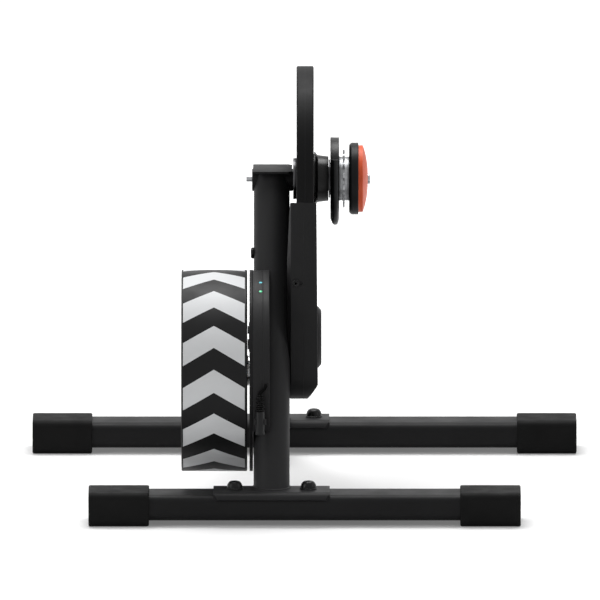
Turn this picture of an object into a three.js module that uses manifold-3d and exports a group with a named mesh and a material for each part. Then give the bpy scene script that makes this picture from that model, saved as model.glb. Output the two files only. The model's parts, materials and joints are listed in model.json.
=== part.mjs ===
// A direct drive bike trainer, in millimetres. +X is the drive side, +Y is the way the bike faces, +Z is up.
// The origin is on the floor, under the middle of the two feet.
// An A-frame of two round legs stands on two feet. The bike's rear dropouts clamp on the axle at its top.
// The chain turns one sprocket on a freehub, the freehub turns a large pulley,
// and a belt turns the shaft of a flywheel that an electromagnet slows.

import * as THREE from 'three';
import { mergeVertices } from 'three/addons/utils/BufferGeometryUtils.js';
import Module from 'manifold-3d';

const wasm = await Module();
wasm.setup();

// Clearances that the whole machine shares
const fitGap = 0.3; // between fixed pieces that nest in each other
const runningGap = 0.08; // on the radius, between a shaft and its bearing
const overrun = 400; // how far a cutter runs past what it cuts

// How finely round shapes are drawn
const wheelSides = 36;
const guardSides = 26;
const shaftSides = 24;
const turnSides = 16;
const boltSides = 8;
const cornerSteps = 2;

// Feet: two rectangular tubes with rubber end caps
const footSpacing = 449;
const frontFootLength = 584;
const rearFootLength = 457;
const footTubeWidth = 54;
const footTubeHeight = 27.6;
const footTubeCorner = 9;
const footTubeWall = 2.5;
const capLength = 64;
const capSole = 5.6;
const capCheek = 2.5;
const capEndWall = 5;
const capCorner = 11.5;
const capRounding = 1.6;
const footTubeTop = capSole + footTubeHeight;

// Saddles: bent plates that seat the legs on the feet
const saddleLength = 123;
const saddleThickness = 3;
const saddleWrap = THREE.MathUtils.degToRad(65);
const saddleChamfer = 5;
const saddleTop = footTubeTop + saddleThickness;
const rearBoltReach = 39;
const frontBoltReach = 45;

// Leg bolts and the rivet nuts inside the foot tubes
const boltShankRadius = 4.5;
const boltFlangeRadius = 9.1;
const boltFlangeHeight = 1.5;
const boltHeadRadius = 7.8;
const boltShoulderRadius = 6.4;
const boltShoulderShare = 0.6;
const boltCrownRadius = 4;
const boltHeadHeight = 7;
const boltSocketRadius = 3;
const boltSocketDepth = 3.5;
const boltLength = 22;
const nutRadius = 6.4;
const nutLength = 15;
const nutCollarRadius = 8.4;
const nutCollarHeight = 3;

// Legs: round tubes that meet over the axle
const legRadius = 19.05;
const legWall = 2;
const legX = -34.9;
const legFootInset = 11;
const axleY = -16;
const axleZ = 334.6;
const topCapDepth = 51;
const topCapThickness = 2.5;
const topCapWidth = 41.5;
const topCapLeftX = -54.8;
const topCapCorner = 4;
const topCapRise = 8.9;

// The rear leg's way down from the axle, and the flywheel's axis beside it
const legDropY = legFootInset - footSpacing / 2 - axleY;
const legDropZ = saddleTop - axleZ;
const legLength = Math.hypot(legDropY, legDropZ);
const brakeAlong = 209.27;
const brakeAside = 31.05;
const brakeY = axleY + (brakeAlong * legDropY - brakeAside * legDropZ) / legLength;
const brakeZ = axleZ + (brakeAlong * legDropZ + brakeAside * legDropY) / legLength;

// Axle: a hollow shaft in a barrel across the legs
const barrelRadius = 13.3;
const barrelLeftX = -55.9;
const barrelRightX = -12.2;
const barrelChamfer = 1.2;
const axleRadius = 7.5;
const axleBore = 3.6;
const axleRightX = 64;
const adapterStubRadius = 3.3;
const adapterLeftX = -62;
const adapterPlug = 16;
const adapterHeadRadius = 5.6;
const adapterRightX = 69.7;
const hubFlangeRadius = 21.8;

// Upper guard: a flat round housing over the large pulley, with a hand opening in its top
const guardRadius = 119.7;
const guardLeftX = -8.6;
const guardRightX = 9.7;
const guardWall = 2.2;
const guardBottomZ = 328.4;
const guardChamfer = 1.3;
const guardPulleyRadius = 73.5;
const gripInnerRadius = 77;
const gripOuterRadius = 104;
const gripSpread = THREE.MathUtils.degToRad(50);
const guardSteps = 30;
const beltCentreX = (guardLeftX + guardRightX) / 2;

// Lower belt cover: two shells around the belt run
const coverWall = 2.5;
const coverLedge = 3;
const coverLeftTopX = -15.1;
const coverLeftX = -18.6;
const coverLeftFootX = -14;
const coverLeftShoulderZ = 260;
const coverLeftWaistZ = 170;
const coverLeftFootZ = 125;
const coverRightTopX = 12.5;
const coverRightFootX = 14.1;
const coverFootChamfer = 11.1;
const coverFootChamferRise = 18.4;
const coverFootSmallChamfer = 2.4;
const coverCavityLeftX = -12.2;
const coverCavityRightX = 10.2;
const coverSeamX = -1;
const coverEdgeInset = 4.1;
const coverEdgeDepth = 8.6;
const coverEndRadius = 30.1;
const coverBossBase = 33;
const coverBossTop = 28.5;
const coverBossRise = 3.8;
const coverBossShare = 0.827;
const coverScrewX = -9.4;
const coverScrewZ = 241.8;
const coverScrewRadius = 3.8;
const coverScrewHead = 1.6;
const coverScrewShank = 1.6;
const coverScrewLength = 9;
const coverLugWidth = 6;
const coverLugDepth = 9;
const mountBoltGap = 13.7;
const mountBoltHeadRadius = 5.9;
const mountBoltHeadHeight = 3;
const mountBoltShank = 3;
const mountBoltLugRadius = 6.5;
const mountBoltLugLength = 5;

// Belt drive
const beltWidth = 11;
const beltThickness = 2.4;
const beltGap = 0.3;
const largePulleyRadius = 67.5;
const smallPulleyRadius = 13.5;
const idlerRadius = 12;
const beltFlange = 1.1;
const beltFlangeWidth = 0.8;
const pulleyRim = 3.5;
const pulleyWeb = 4;
const pulleyHoleRadius = 10;
const pulleyHoleCount = 6;
const pulleyHoleOrbit = 43;
const idlerAlong = 82;
const idlerAside = 43;
const idlerPinRadius = 4;
const armThickness = 2.4;
const armWidth = 8;
const armRingRadius = 15;
const armBoreRadius = 9.5;

// Drive hub: carries the large pulley and the ratchet ring
const hubLeftX = -5.4;
const hubShoulderX = 6.6;
const hubRightX = 25.3;
const hubBodyRadius = 18;
const hubCollarRadius = 26.4;
const hubLipRadius = 28.5;
const hubLipX = 10.1;
const hubWaistX = 14.5;
const hubWaistRadius = 25;
const hubNoseRadius = 23.8;
const ringWidth = 7;
const ringRadius = 13.9;
const shaftPassage = 9.5;
const ratchetRadius = 15.9;
const ratchetRoot = 14.8;
const ratchetTip = 13.6;
const ratchetTeeth = 18;
const ratchetWidth = 7.6;
const ratchetRiseShare = 0.8;
const innerHubRingX = -5;
const outerHubRingX = 9;

// Freehub: a splined body on its own bearings, with three pawls
const drumRadius = 13;
const drumLeftX = 18.4;
const drumRightX = 25.6;
const freehubCollarRadius = 20.5;
const freehubRightX = 56.9;
const splineTop = 17.3;
const splineRoot = 16.1;
const splineCount = 9;
const pawlCount = 3;
const pawlDepth = 1.9;
const pawlRise = 0.15;
const pawlSweep = THREE.MathUtils.degToRad(52);
const pawlWidth = 4.6;
const innerFreehubRingX = 29;
const outerFreehubRingX = 44;
const lockringNose = 14.9;
const lockringFlange = 19;
const lockringThickness = 2;
const lockringDepth = 4;
const lockringBore = 9;

// Sprocket with its hub, between two chain guards
const toothCount = 14;
const chainPitch = 12.7;
const chainRollerRadius = 3.95;
const seatSpread = THREE.MathUtils.degToRad(58);
const rollerSeatSteps = 3;
const toothTip = 31;
const toothTipWidth = 2.2;
const sprocketThickness = 2;
const sprocketX = 40.6;
const sprocketHubRadius = 23.4;
const sprocketHubLeftX = 36.7;
const sprocketHubRightX = 47.3;
const sleeveRadius = 20;
const innerGuardLeftX = 27.4;
const freehubCollarX = innerGuardLeftX - fitGap;
const innerGuardRadius = 43.9;
const innerGuardLowerRadius = 49.6;
const innerGuardBevel = 2.4;
const innerGuardSquare = 0.6;
const innerGuardStep = THREE.MathUtils.degToRad(68);
const innerGuardNotch = 3.2;
const outerGuardRadius = 38.6;
const outerGuardRightX = 57.2;
const outerGuardChamfer = 2.5;
const lockCapRadius = 35.8;
const lockCapWall = 2.4;
const lockCapShoulderX = 61.8;
const lockCapRightX = 67.2;
const lockCapHole = 6.3;
const lockCapDome = 14;
// The radius of each ring of the dome, from the shoulder to the end
const lockCapCurveShares = [0.99, 0.86, 0.7, 0.5];

// Flywheel: a heavy cup whose rim turns around the brake
const flywheelRadius = 106.8;
const flywheelLeftX = -130.6;
const flywheelRightX = -60.9;
const flywheelRimWall = 16.8;
const flywheelRimRadius = flywheelRadius - flywheelRimWall;
const flywheelEdge = 1.3;
const flywheelWebLeftX = -121;
const flywheelWebRightX = -111;
const flywheelHubRadius = 24;
const flywheelHubLeftX = -126;
const flywheelHubRightX = -102.5;
const flywheelDishLip = 4;
const flywheelDishRadius = flywheelRimRadius - flywheelDishLip;
const spindleRadius = 7.5;
const spindleLeftX = -128;
const spindleRightX = 9.6;
const spindleShoulder = 8.6;
const flywheelNutRadius = 12;
const flywheelNutThickness = 4;
const pulleyNutRadius = 9;
const pulleyNutThickness = 2.6;

// Bearing housing, brake plate, stator and speed sensor
const housingRadius = 16;
const housingLeftX = -99;
const housingRightX = -9.5;
const brakePlateLeftX = -58.4;
const brakePlateRightX = -54.8;
const statorLeftX = -97;
const statorRightX = -66;
const statorHubRadius = 28;
const statorGap = 1.4;
const statorRadius = flywheelRimRadius - statorGap;
const statorShoeDepth = 7;
const statorShoeSweep = THREE.MathUtils.degToRad(50);
const poleCount = 6;
const poleWidth = 20;
const coilThickness = 4.8;
const coilInnerRadius = 37;
const coilInset = 8.6;
const coilOuterRadius = statorRadius - coilInset;
const sensorRise = 1.9;
const sensorInset = 1.3;
const sensorLength = 8.5;
const sensorOuterRadius = flywheelRadius - sensorInset;
const sensorInnerRadius = sensorOuterRadius - sensorLength;
const sensorFoot = 0.6;
const sensorHighAngle = THREE.MathUtils.degToRad(34.5);
const sensorLowAngle = THREE.MathUtils.degToRad(25.5);
const sensorHighSweep = THREE.MathUtils.degToRad(3.4);
const sensorLowSweep = THREE.MathUtils.degToRad(5);
const sensorFootSweep = THREE.MathUtils.degToRad(17);

// Electronics: a D-shaped box on the brake plate, behind the rear leg
const boxRightX = -37.2;
const boxSeamX = -44;
const boxLegGap = 1.4;
const boxChord = brakeAside + legRadius + boxLegGap;
const boxWall = 2.2;
const boxRounding = 3.6;
const boardX = -51;
const boardThickness = 1.6;
const boardPostRadius = 2.5;
const boardPostAngle = THREE.MathUtils.degToRad(28);
const lampAngles = [70.3, 61.2].map((angle) => THREE.MathUtils.degToRad(angle));
const lampX = -46.6;
const lampRadius = 1.7;
const lampDepth = 2;
const lampRise = 0.4;

// Power lead: a short lead that ends in a socket, held by a clip on the box
const leadRadius = 1.9;
const leadExitX = -41;
const leadExitRise = 51.5;
const leadSides = 8;
const leadSteps = 10;
const socketX = -47.2;
const socketStandoff = 5.2;
const socketRadius = 4.6;
const socketTopRise = 24.2;
const socketLipRadius = 4.9;
const socketLip = 2.6;
const socketBore = 3.2;
const socketBoreDepth = 9;
const reliefTopRise = 42;
const reliefTopRadius = 3;
const reliefRibs = 4;
const reliefRibDepth = 0.8;
const clipRise = 10.6;
const clipHeight = 6;
const clipWall = 1.6;

const unitX = new THREE.Vector3(1, 0, 0);
const unitY = new THREE.Vector3(0, 1, 0);
const unitZ = new THREE.Vector3(0, 0, 1);
const uprightTurn = [0, -90, 0];
const towardNear = [0, 0, -90];
const halfTurn = Math.PI;
const fullTurn = 2 * Math.PI;
const quarterTurn = Math.PI / 2;

const blackPaint = finish(0x1c1c1e, 0.38, 0.3);
const satinBlack = finish(0x222326, 0.5, 0.1);
const blackRubber = finish(0x19191a, 0.85, 0);
const darkSteel = finish(0x2e2f31, 0.45, 0.8);
const brightSteel = finish(0xc4c6c8, 0.28, 1);
const aluminium = finish(0xb4b6b9, 0.35, 0.9);
const copper = finish(0xa65a32, 0.4, 0.9);
const orange = finish(0xd8572c, 0.42, 0);
const circuitGreen = finish(0x1f5a37, 0.6, 0);
const lampBlue = finish(0x3fa8b4, 0.3, 0);
const flywheelPaint = finish(0x2b2c2e, 0.45, 0.4);

function finish(color, roughness, metalness) {
  return new THREE.MeshStandardMaterial({ color, roughness, metalness });
}

// Turns a three.js geometry into a solid, whichever way its faces were wound
function solidOf(geometry) {
  const bare = new THREE.BufferGeometry();
  bare.setAttribute('position', geometry.getAttribute('position').clone());
  if (geometry.index) bare.setIndex(geometry.index.clone());
  const merged = mergeVertices(bare);
  const points = merged.getAttribute('position').array;
  const corners = merged.index.array;
  const kept = [];
  let volume = 0;
  for (let at = 0; at < corners.length; at += 3) {
    const [a, b, c] = [corners[at], corners[at + 1], corners[at + 2]];
    if (a === b || b === c || c === a) continue;
    kept.push(a, b, c);
    const [p, q, r] = [a, b, c].map((index) => new THREE.Vector3().fromArray(points, 3 * index));
    volume += p.dot(q.cross(r));
  }
  if (volume < 0) kept.reverse();
  return new wasm.Manifold(new wasm.Mesh({
    numProp: 3,
    vertProperties: new Float32Array(points),
    triVerts: new Uint32Array(kept),
  }));
}

function joined(solids) {
  return solids.reduce((whole, solid) => whole.add(solid));
}

function piece(name, solid, material) {
  const { vertProperties, triVerts } = solid.getMesh();
  const geometry = new THREE.BufferGeometry();
  geometry.setAttribute('position', new THREE.BufferAttribute(new Float32Array(vertProperties), 3));
  geometry.setIndex(new THREE.BufferAttribute(new Uint32Array(triVerts), 1));
  geometry.computeVertexNormals();
  const mesh = new THREE.Mesh(geometry, material);
  mesh.name = name;
  return mesh;
}

function block(lowX, highX, lowY, highY, lowZ, highZ) {
  const geometry = new THREE.BoxGeometry(highX - lowX, highY - lowY, highZ - lowZ);
  geometry.translate((lowX + highX) / 2, (lowY + highY) / 2, (lowZ + highZ) / 2);
  return solidOf(geometry);
}

// A profile of [along X, radius] pairs, turned around the X axis. The last pair joins the first.
function turned(profile, sides = turnSides) {
  const loop = [...profile, profile[0]].map(([along, radius]) => new THREE.Vector2(radius, along));
  const geometry = new THREE.LatheGeometry(loop, sides);
  geometry.rotateZ(-quarterTurn);
  return solidOf(geometry);
}

function disc(radius, lowX, highX, sides = turnSides) {
  return turned([[lowX, 0], [lowX, radius], [highX, radius], [highX, 0]], sides);
}

function ring(inner, outer, lowX, highX, sides = turnSides) {
  return turned([[lowX, inner], [lowX, outer], [highX, outer], [highX, inner]], sides);
}

function shapeOf(points, holes = []) {
  const shape = new THREE.Shape(points);
  shape.holes = holes.map((hole) => new THREE.Path(hole));
  return shape;
}

// Extrudes points in the Y-Z plane along X
function prismX(points, lowX, highX, holes = []) {
  const settings = { depth: highX - lowX, bevelEnabled: false };
  const geometry = new THREE.ExtrudeGeometry(shapeOf(points, holes), settings);
  geometry.applyMatrix4(new THREE.Matrix4().makeBasis(unitY, unitZ, unitX));
  geometry.translate(lowX, 0, 0);
  return solidOf(geometry);
}

// The same with both end edges rounded
function roundedPrismX(points, lowX, highX, rounding, holes = []) {
  const geometry = new THREE.ExtrudeGeometry(shapeOf(points, holes), {
    depth: highX - lowX - 2 * rounding,
    bevelThickness: rounding,
    bevelSize: rounding,
    bevelOffset: -rounding,
    bevelSegments: 1,
  });
  geometry.applyMatrix4(new THREE.Matrix4().makeBasis(unitY, unitZ, unitX));
  geometry.translate(lowX + rounding, 0, 0);
  return solidOf(geometry);
}

// Extrudes points in the X-Z plane along Y
function prismY(points, lowY, highY) {
  const geometry = new THREE.ExtrudeGeometry(shapeOf(points), { depth: highY - lowY, bevelEnabled: false });
  geometry.rotateX(quarterTurn);
  geometry.translate(0, highY, 0);
  return solidOf(geometry);
}

// Extrudes points in the X-Y plane along Z
function prismZ(points, lowZ, highZ) {
  const geometry = new THREE.ExtrudeGeometry(shapeOf(points), { depth: highZ - lowZ, bevelEnabled: false });
  geometry.translate(0, 0, lowZ);
  return solidOf(geometry);
}

function vectors(pairs) {
  return pairs.map(([a, b]) => new THREE.Vector2(a, b));
}

function arc(centreA, centreB, radius, start, end, steps) {
  const points = [];
  for (let step = 0; step <= steps; step += 1) {
    const angle = start + (end - start) * step / steps;
    points.push(new THREE.Vector2(centreA + radius * Math.cos(angle), centreB + radius * Math.sin(angle)));
  }
  return points;
}

function circle(radius, sides = turnSides, centreA = 0, centreB = 0) {
  return arc(centreA, centreB, radius, 0, fullTurn, sides).slice(0, -1);
}

function roundedRectangle(width, height, radius, centreA = 0, centreB = 0) {
  const reachA = width / 2 - radius;
  const reachB = height / 2 - radius;
  const corners = [[1, 1], [-1, 1], [-1, -1], [1, -1]];
  return corners.flatMap(([sideA, sideB], index) => arc(
    centreA + sideA * reachA, centreB + sideB * reachB, radius,
    index * quarterTurn, (index + 1) * quarterTurn, cornerSteps,
  ));
}

// A band of a ring, from one angle to another around the X axis
function arcBand(innerRadius, outerRadius, start, sweep, lowX, highX, steps = cornerSteps) {
  const outer = arc(0, 0, outerRadius, start, start + sweep, steps);
  const inner = arc(0, 0, innerRadius, start + sweep, start, steps);
  return prismX([...outer, ...inner], lowX, highX);
}

function rodBetween(start, end, radius, sides = turnSides) {
  const along = end.clone().sub(start);
  const geometry = new THREE.CylinderGeometry(radius, radius, along.length(), sides);
  geometry.applyQuaternion(new THREE.Quaternion().setFromUnitVectors(unitY, along.clone().normalize()));
  const middle = start.clone().add(end).multiplyScalar(0.5);
  geometry.translate(middle.x, middle.y, middle.z);
  return solidOf(geometry);
}

function around(solid, count, startAngle = 0) {
  const copies = [];
  for (let index = 0; index < count; index += 1) {
    copies.push(solid.rotate([THREE.MathUtils.radToDeg(startAngle + fullTurn * index / count), 0, 0]));
  }
  return copies;
}

// The loop of a belt around pulleys, anticlockwise in the Y-Z plane.
// A pulley with a negative radius is passed on the belt's outer side.
function loopAround(wheels, offset, steps) {
  const leaving = wheels.map((wheel, index) => {
    const next = wheels[(index + 1) % wheels.length];
    const [y, z] = [next.y - wheel.y, next.z - wheel.z];
    return Math.atan2(z, y) + Math.asin((wheel.radius - next.radius) / Math.hypot(y, z));
  });
  return wheels.flatMap((wheel, index) => {
    const arriving = leaving[(index + wheels.length - 1) % wheels.length];
    let sweep = (leaving[index] - arriving) % fullTurn;
    if (wheel.radius > 0 && sweep < 0) sweep += fullTurn;
    if (wheel.radius < 0 && sweep > 0) sweep -= fullTurn;
    const count = Math.max(2, Math.ceil(steps * Math.abs(sweep) / fullTurn));
    const start = arriving - quarterTurn;
    return arc(wheel.y, wheel.z, wheel.radius + offset, start, start + sweep, count);
  });
}

// Feet

function footTubeSection(grow = 0) {
  const middle = capSole + footTubeHeight / 2;
  const [wide, high] = [footTubeWidth + 2 * grow, footTubeHeight + 2 * grow];
  return roundedRectangle(wide, high, footTubeCorner + grow, 0, middle);
}

function boltPlaces(reach) {
  return [legX - reach, legX + reach];
}

function upright(radius, x, y, lowZ, highZ) {
  return rodBetween(new THREE.Vector3(x, y, lowZ), new THREE.Vector3(x, y, highZ), radius, boltSides);
}

// A rivet nut pressed in the tube's upper wall
function rivetNut(x) {
  const roof = footTubeTop - footTubeWall;
  return uprightTurned([
    [roof, 0], [roof, nutCollarRadius], [roof - nutCollarHeight, nutCollarRadius],
    [roof - nutCollarHeight, nutRadius], [footTubeTop - nutLength, nutRadius], [footTubeTop - nutLength, 0],
  ], x, 0, 0);
}

function footTube(length, reach) {
  const half = length / 2 - capEndWall;
  const hollow = footTubeSection(-footTubeWall);
  const tube = prismX(footTubeSection(), -half, half, [hollow]);
  const nuts = boltPlaces(reach).map(rivetNut);
  const bore = boltShankRadius + fitGap;
  const threads = boltPlaces(reach).map((x) => upright(bore, x, 0, capSole + footTubeHeight / 4, saddleTop));
  return joined([tube, ...nuts]).subtract(joined(threads));
}

function footCap(length, side) {
  const low = length / 2 - capLength;
  const width = footTubeWidth + 2 * capCheek;
  const section = roundedRectangle(width, saddleTop, capCorner, 0, saddleTop / 2);
  const body = roundedPrismX(section, low, length / 2, capRounding);
  const wide = footTubeWidth + 2 * fitGap;
  const high = footTubeHeight + fitGap;
  const socket = roundedRectangle(wide, high, footTubeCorner, 0, capSole + high / 2);
  const cap = body.subtract(prismX(socket, low - overrun, length / 2 - capEndWall));
  return side > 0 ? cap : cap.mirror([1, 0, 0]);
}

// A plate bent over the tube's two rounded edges, with bolt holes and cut corners
function saddle(reach) {
  const reachY = footTubeWidth / 2 - footTubeCorner;
  const centreZ = footTubeTop - footTubeCorner;
  const outerRadius = footTubeCorner + saddleThickness;
  const innerRadius = footTubeCorner + fitGap;
  const outer = [
    ...arc(reachY, centreZ, outerRadius, quarterTurn - saddleWrap, quarterTurn, 2 * cornerSteps),
    ...arc(-reachY, centreZ, outerRadius, quarterTurn, quarterTurn + saddleWrap, 2 * cornerSteps),
  ];
  const underside = [
    ...arc(-reachY, centreZ, innerRadius, quarterTurn + saddleWrap, quarterTurn, 2 * cornerSteps),
    ...vectors([[-reachY, footTubeTop], [reachY, footTubeTop]]),
    ...arc(reachY, centreZ, innerRadius, quarterTurn, quarterTurn - saddleWrap, 2 * cornerSteps),
  ];
  const low = legX - saddleLength / 2;
  const high = legX + saddleLength / 2;
  let plate = prismX([...outer, ...underside], low, high);
  const edge = reachY + outerRadius * Math.sin(saddleWrap);
  for (const [end, way, side] of [[low, 1, 1], [high, -1, 1], [low, 1, -1], [high, -1, -1]]) {
    const [far, beyond] = [end - way * overrun, side * (edge + overrun)];
    const [inner, cutX] = [side * (edge - saddleChamfer), end + way * saddleChamfer];
    const corner = [[far, beyond], [far, inner], [end, inner], [cutX, side * edge], [cutX, beyond]];
    plate = plate.subtract(prismZ(vectors(corner), 0, saddleTop + overrun));
  }
  const bore = boltShankRadius + fitGap;
  const holes = boltPlaces(reach).map((x) => upright(bore, x, 0, 0, saddleTop + overrun));
  return plate.subtract(joined(holes));
}

function uprightTurned(profile, x, y, z, sides = boltSides) {
  return turned(profile, sides).rotate(uprightTurn).translate([x, y, z]);
}

function legBolt(x) {
  const headTop = boltFlangeHeight + boltHeadHeight;
  const shoulder = boltFlangeHeight + boltShoulderShare * boltHeadHeight;
  return uprightTurned([
    [-boltLength, 0], [-boltLength, boltShankRadius], [0, boltShankRadius], [0, boltFlangeRadius],
    [boltFlangeHeight, boltFlangeRadius], [boltFlangeHeight, boltHeadRadius],
    [shoulder, boltShoulderRadius], [headTop, boltCrownRadius], [headTop, boltSocketRadius],
    [headTop - boltSocketDepth, boltSocketRadius], [headTop - boltSocketDepth, 0],
  ], x, 0, saddleTop);
}

// Legs and axle

function legFoot(side) {
  return new THREE.Vector3(legX, side * (footSpacing / 2 - legFootInset), saddleTop);
}

function legAxis(side) {
  const top = new THREE.Vector3(legX, axleY, axleZ);
  const foot = legFoot(side);
  const along = top.clone().sub(foot).normalize();
  const extra = along.clone().multiplyScalar(3 * legRadius);
  return [foot.clone().sub(extra), top.clone().add(extra)];
}

function legRod(side, radius) {
  const [start, end] = legAxis(side);
  return rodBetween(start, end, radius);
}

function legPoint(side, share) {
  return new THREE.Vector3(legX, axleY, axleZ).lerp(legFoot(side), share);
}

function leg(side) {
  const mitre = axleY + side * fitGap / 2;
  const [nearY, farY] = side < 0 ? [-overrun, mitre] : [mitre, overrun];
  const span = block(-overrun, overrun, nearY, farY, saddleTop, axleZ + topCapRise);
  const tube = legRod(side, legRadius).subtract(legRod(side, legRadius - legWall)).intersect(span);
  const barrelHole = disc(barrelRadius + fitGap, -overrun, overrun).translate([0, axleY, axleZ]);
  const bolt = mountBoltPlace();
  const bore = mountBoltShank + fitGap;
  const boltHole = disc(bore, -overrun, overrun, boltSides).translate([0, bolt.y, bolt.z]);
  const cuts = side < 0 ? barrelHole.add(boltHole) : barrelHole;
  return tube.subtract(cuts);
}

function legTopCap() {
  const right = topCapLeftX + topCapWidth;
  const near = axleY - topCapDepth / 2;
  const far = axleY + topCapDepth / 2;
  const outline = vectors([
    [topCapLeftX, near], [right - topCapCorner, near], [right, near + topCapCorner],
    [right, far - topCapCorner], [right - topCapCorner, far], [topCapLeftX, far],
  ]);
  return prismZ(outline, axleZ + topCapRise, axleZ + topCapRise + topCapThickness);
}

// The barrel has a flat along its top, where the cap plate lies on it
function axleBarrel() {
  const bore = axleRadius + fitGap;
  const shoulder = barrelRadius - barrelChamfer;
  const below = block(-overrun, overrun, -overrun, overrun, -overrun, topCapRise);
  return turned([
    [barrelLeftX, bore], [barrelLeftX, shoulder], [barrelLeftX + barrelChamfer, barrelRadius],
    [barrelRightX - barrelChamfer, barrelRadius], [barrelRightX, shoulder], [barrelRightX, bore],
  ]).intersect(below);
}

function axle() {
  return turned([
    [barrelLeftX, axleBore], [barrelLeftX, axleRadius], [barrelRightX, axleRadius],
    [barrelRightX, hubFlangeRadius], [guardLeftX, hubFlangeRadius], [guardLeftX, axleRadius],
    [axleRightX, axleRadius], [axleRightX, axleBore],
  ], shaftSides);
}

function leftAxleAdapter() {
  return disc(adapterStubRadius, adapterLeftX, barrelLeftX + adapterPlug, boltSides);
}

function rightAxleAdapter() {
  return turned([
    [axleRightX - adapterPlug, 0], [axleRightX - adapterPlug, adapterStubRadius],
    [axleRightX, adapterStubRadius], [axleRightX, adapterHeadRadius], [adapterRightX, adapterHeadRadius],
    [adapterRightX, 0],
  ], boltSides);
}

// Upper guard

function guardOutline() {
  const drop = Math.asin((axleZ - guardBottomZ + 2 * guardChamfer) / guardRadius);
  return arc(axleY, axleZ, guardRadius, -drop, halfTurn + drop, guardSteps);
}

function gripOutline() {
  const middle = (gripInnerRadius + gripOuterRadius) / 2;
  const end = (gripOuterRadius - gripInnerRadius) / 2;
  const [start, stop] = [quarterTurn - gripSpread, quarterTurn + gripSpread];
  const [startY, startZ] = [axleY + middle * Math.cos(start), axleZ + middle * Math.sin(start)];
  const [stopY, stopZ] = [axleY + middle * Math.cos(stop), axleZ + middle * Math.sin(stop)];
  return [
    ...arc(axleY, axleZ, gripOuterRadius, start, stop, guardSteps / 3),
    ...arc(stopY, stopZ, end, stop, stop + halfTurn, 2 * cornerSteps).slice(1, -1),
    ...arc(axleY, axleZ, gripInnerRadius, stop, start, guardSteps / 3),
    ...arc(startY, startZ, end, start + halfTurn, start + fullTurn, 2 * cornerSteps).slice(1, -1),
  ];
}

function guardHalf(lowX, highX, holeRadius) {
  const body = roundedPrismX(guardOutline(), guardLeftX, guardRightX, guardChamfer, [gripOutline()]);
  const half = body.intersect(block(lowX, highX, -overrun, overrun, guardBottomZ, guardBottomZ + overrun));
  const room = disc(guardPulleyRadius, guardLeftX + guardWall, guardRightX - guardWall, guardSides);
  const hole = disc(holeRadius, -overrun, overrun);
  return half.subtract(room.add(hole).translate([0, axleY, axleZ]));
}

// Lower belt cover

// The bolt goes through the rear leg just above the flywheel
function mountBoltPlace() {
  const reach = flywheelRadius + mountBoltHeadRadius + mountBoltGap;
  const along = brakeAlong - Math.sqrt(reach * reach - brakeAside * brakeAside);
  return legPoint(-1, along / legLength);
}

function coverWheels(inset) {
  return [
    { y: axleY, z: axleZ, radius: guardRadius - inset },
    { y: brakeY, z: brakeZ, radius: coverEndRadius - inset },
  ];
}

function coverBody() {
  const bottomZ = brakeZ - coverEndRadius;
  const profile = vectors([
    [coverLeftTopX, guardBottomZ], [coverLeftX, coverLeftShoulderZ], [coverLeftX, coverLeftWaistZ],
    [coverLeftFootX, coverLeftFootZ], [coverLeftFootX, bottomZ + coverFootSmallChamfer],
    [coverLeftFootX + coverFootSmallChamfer, bottomZ], [coverRightFootX - coverFootChamfer, bottomZ],
    [coverRightFootX, bottomZ + coverFootChamferRise], [coverRightTopX, guardBottomZ],
  ]);
  const front = prismY(profile, axleY - guardRadius - overrun, axleY + guardRadius + overrun);
  const side = prismX(loopAround(coverWheels(0), 0, wheelSides), coverLeftX, coverRightFootX);
  const nearY = axleY - guardRadius;
  const bevel = prismZ(vectors([
    [coverLeftX - overrun, nearY - overrun], [coverLeftX + coverEdgeInset, nearY - overrun],
    [coverLeftX + coverEdgeInset, nearY], [coverLeftX, nearY + coverEdgeDepth],
    [coverLeftX - overrun, nearY + coverEdgeDepth],
  ]), 0, overrun);
  return front.intersect(side).subtract(bevel).add(coverBoss());
}

function coverBoss() {
  const low = coverCavityRightX + coverWall / 2;
  const high = coverRightFootX + coverBossRise;
  const boss = turned([
    [low, 0], [low, coverBossBase], [high - coverBossRise, coverBossBase], [high, coverBossTop], [high, 0],
  ]);
  const y = THREE.MathUtils.lerp(axleY, brakeY, coverBossShare);
  const z = THREE.MathUtils.lerp(axleZ, brakeZ, coverBossShare);
  return boss.translate([0, y, z]);
}

function coverRoom() {
  const outline = loopAround(coverWheels(coverWall), 0, wheelSides);
  const hollow = prismX(outline, coverCavityLeftX, coverCavityRightX);
  const ceiling = guardBottomZ - coverLedge;
  const room = hollow.intersect(block(-overrun, overrun, -overrun, overrun, 0, ceiling));
  const slotLow = guardLeftX + guardWall;
  const slotHigh = guardRightX - guardWall;
  const slot = block(slotLow, slotHigh, axleY - guardPulleyRadius, axleY + guardPulleyRadius,
    ceiling - coverLedge, guardBottomZ + overrun);
  return room.add(slot);
}

function screwLug() {
  const nearY = axleY - guardRadius + coverWall / 2;
  const [low, high] = [coverCavityLeftX - coverWall / 2, coverScrewX + coverLugWidth / 2];
  const [bottom, top] = [coverScrewZ - coverLugWidth, coverScrewZ + coverLugWidth];
  return block(low, high, nearY, nearY + coverLugDepth, bottom, top);
}

function screwHole() {
  const nearY = axleY - guardRadius;
  const start = new THREE.Vector3(coverScrewX, nearY - overrun, coverScrewZ);
  const end = new THREE.Vector3(coverScrewX, nearY + coverScrewLength + fitGap, coverScrewZ);
  return rodBetween(start, end, coverScrewShank + fitGap, boltSides);
}

function mountLug() {
  const bolt = mountBoltPlace();
  const low = coverCavityLeftX - coverWall / 2;
  const high = coverCavityLeftX + mountBoltLugLength;
  return disc(mountBoltLugRadius, low, high, boltSides).translate([0, bolt.y, bolt.z]);
}

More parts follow.
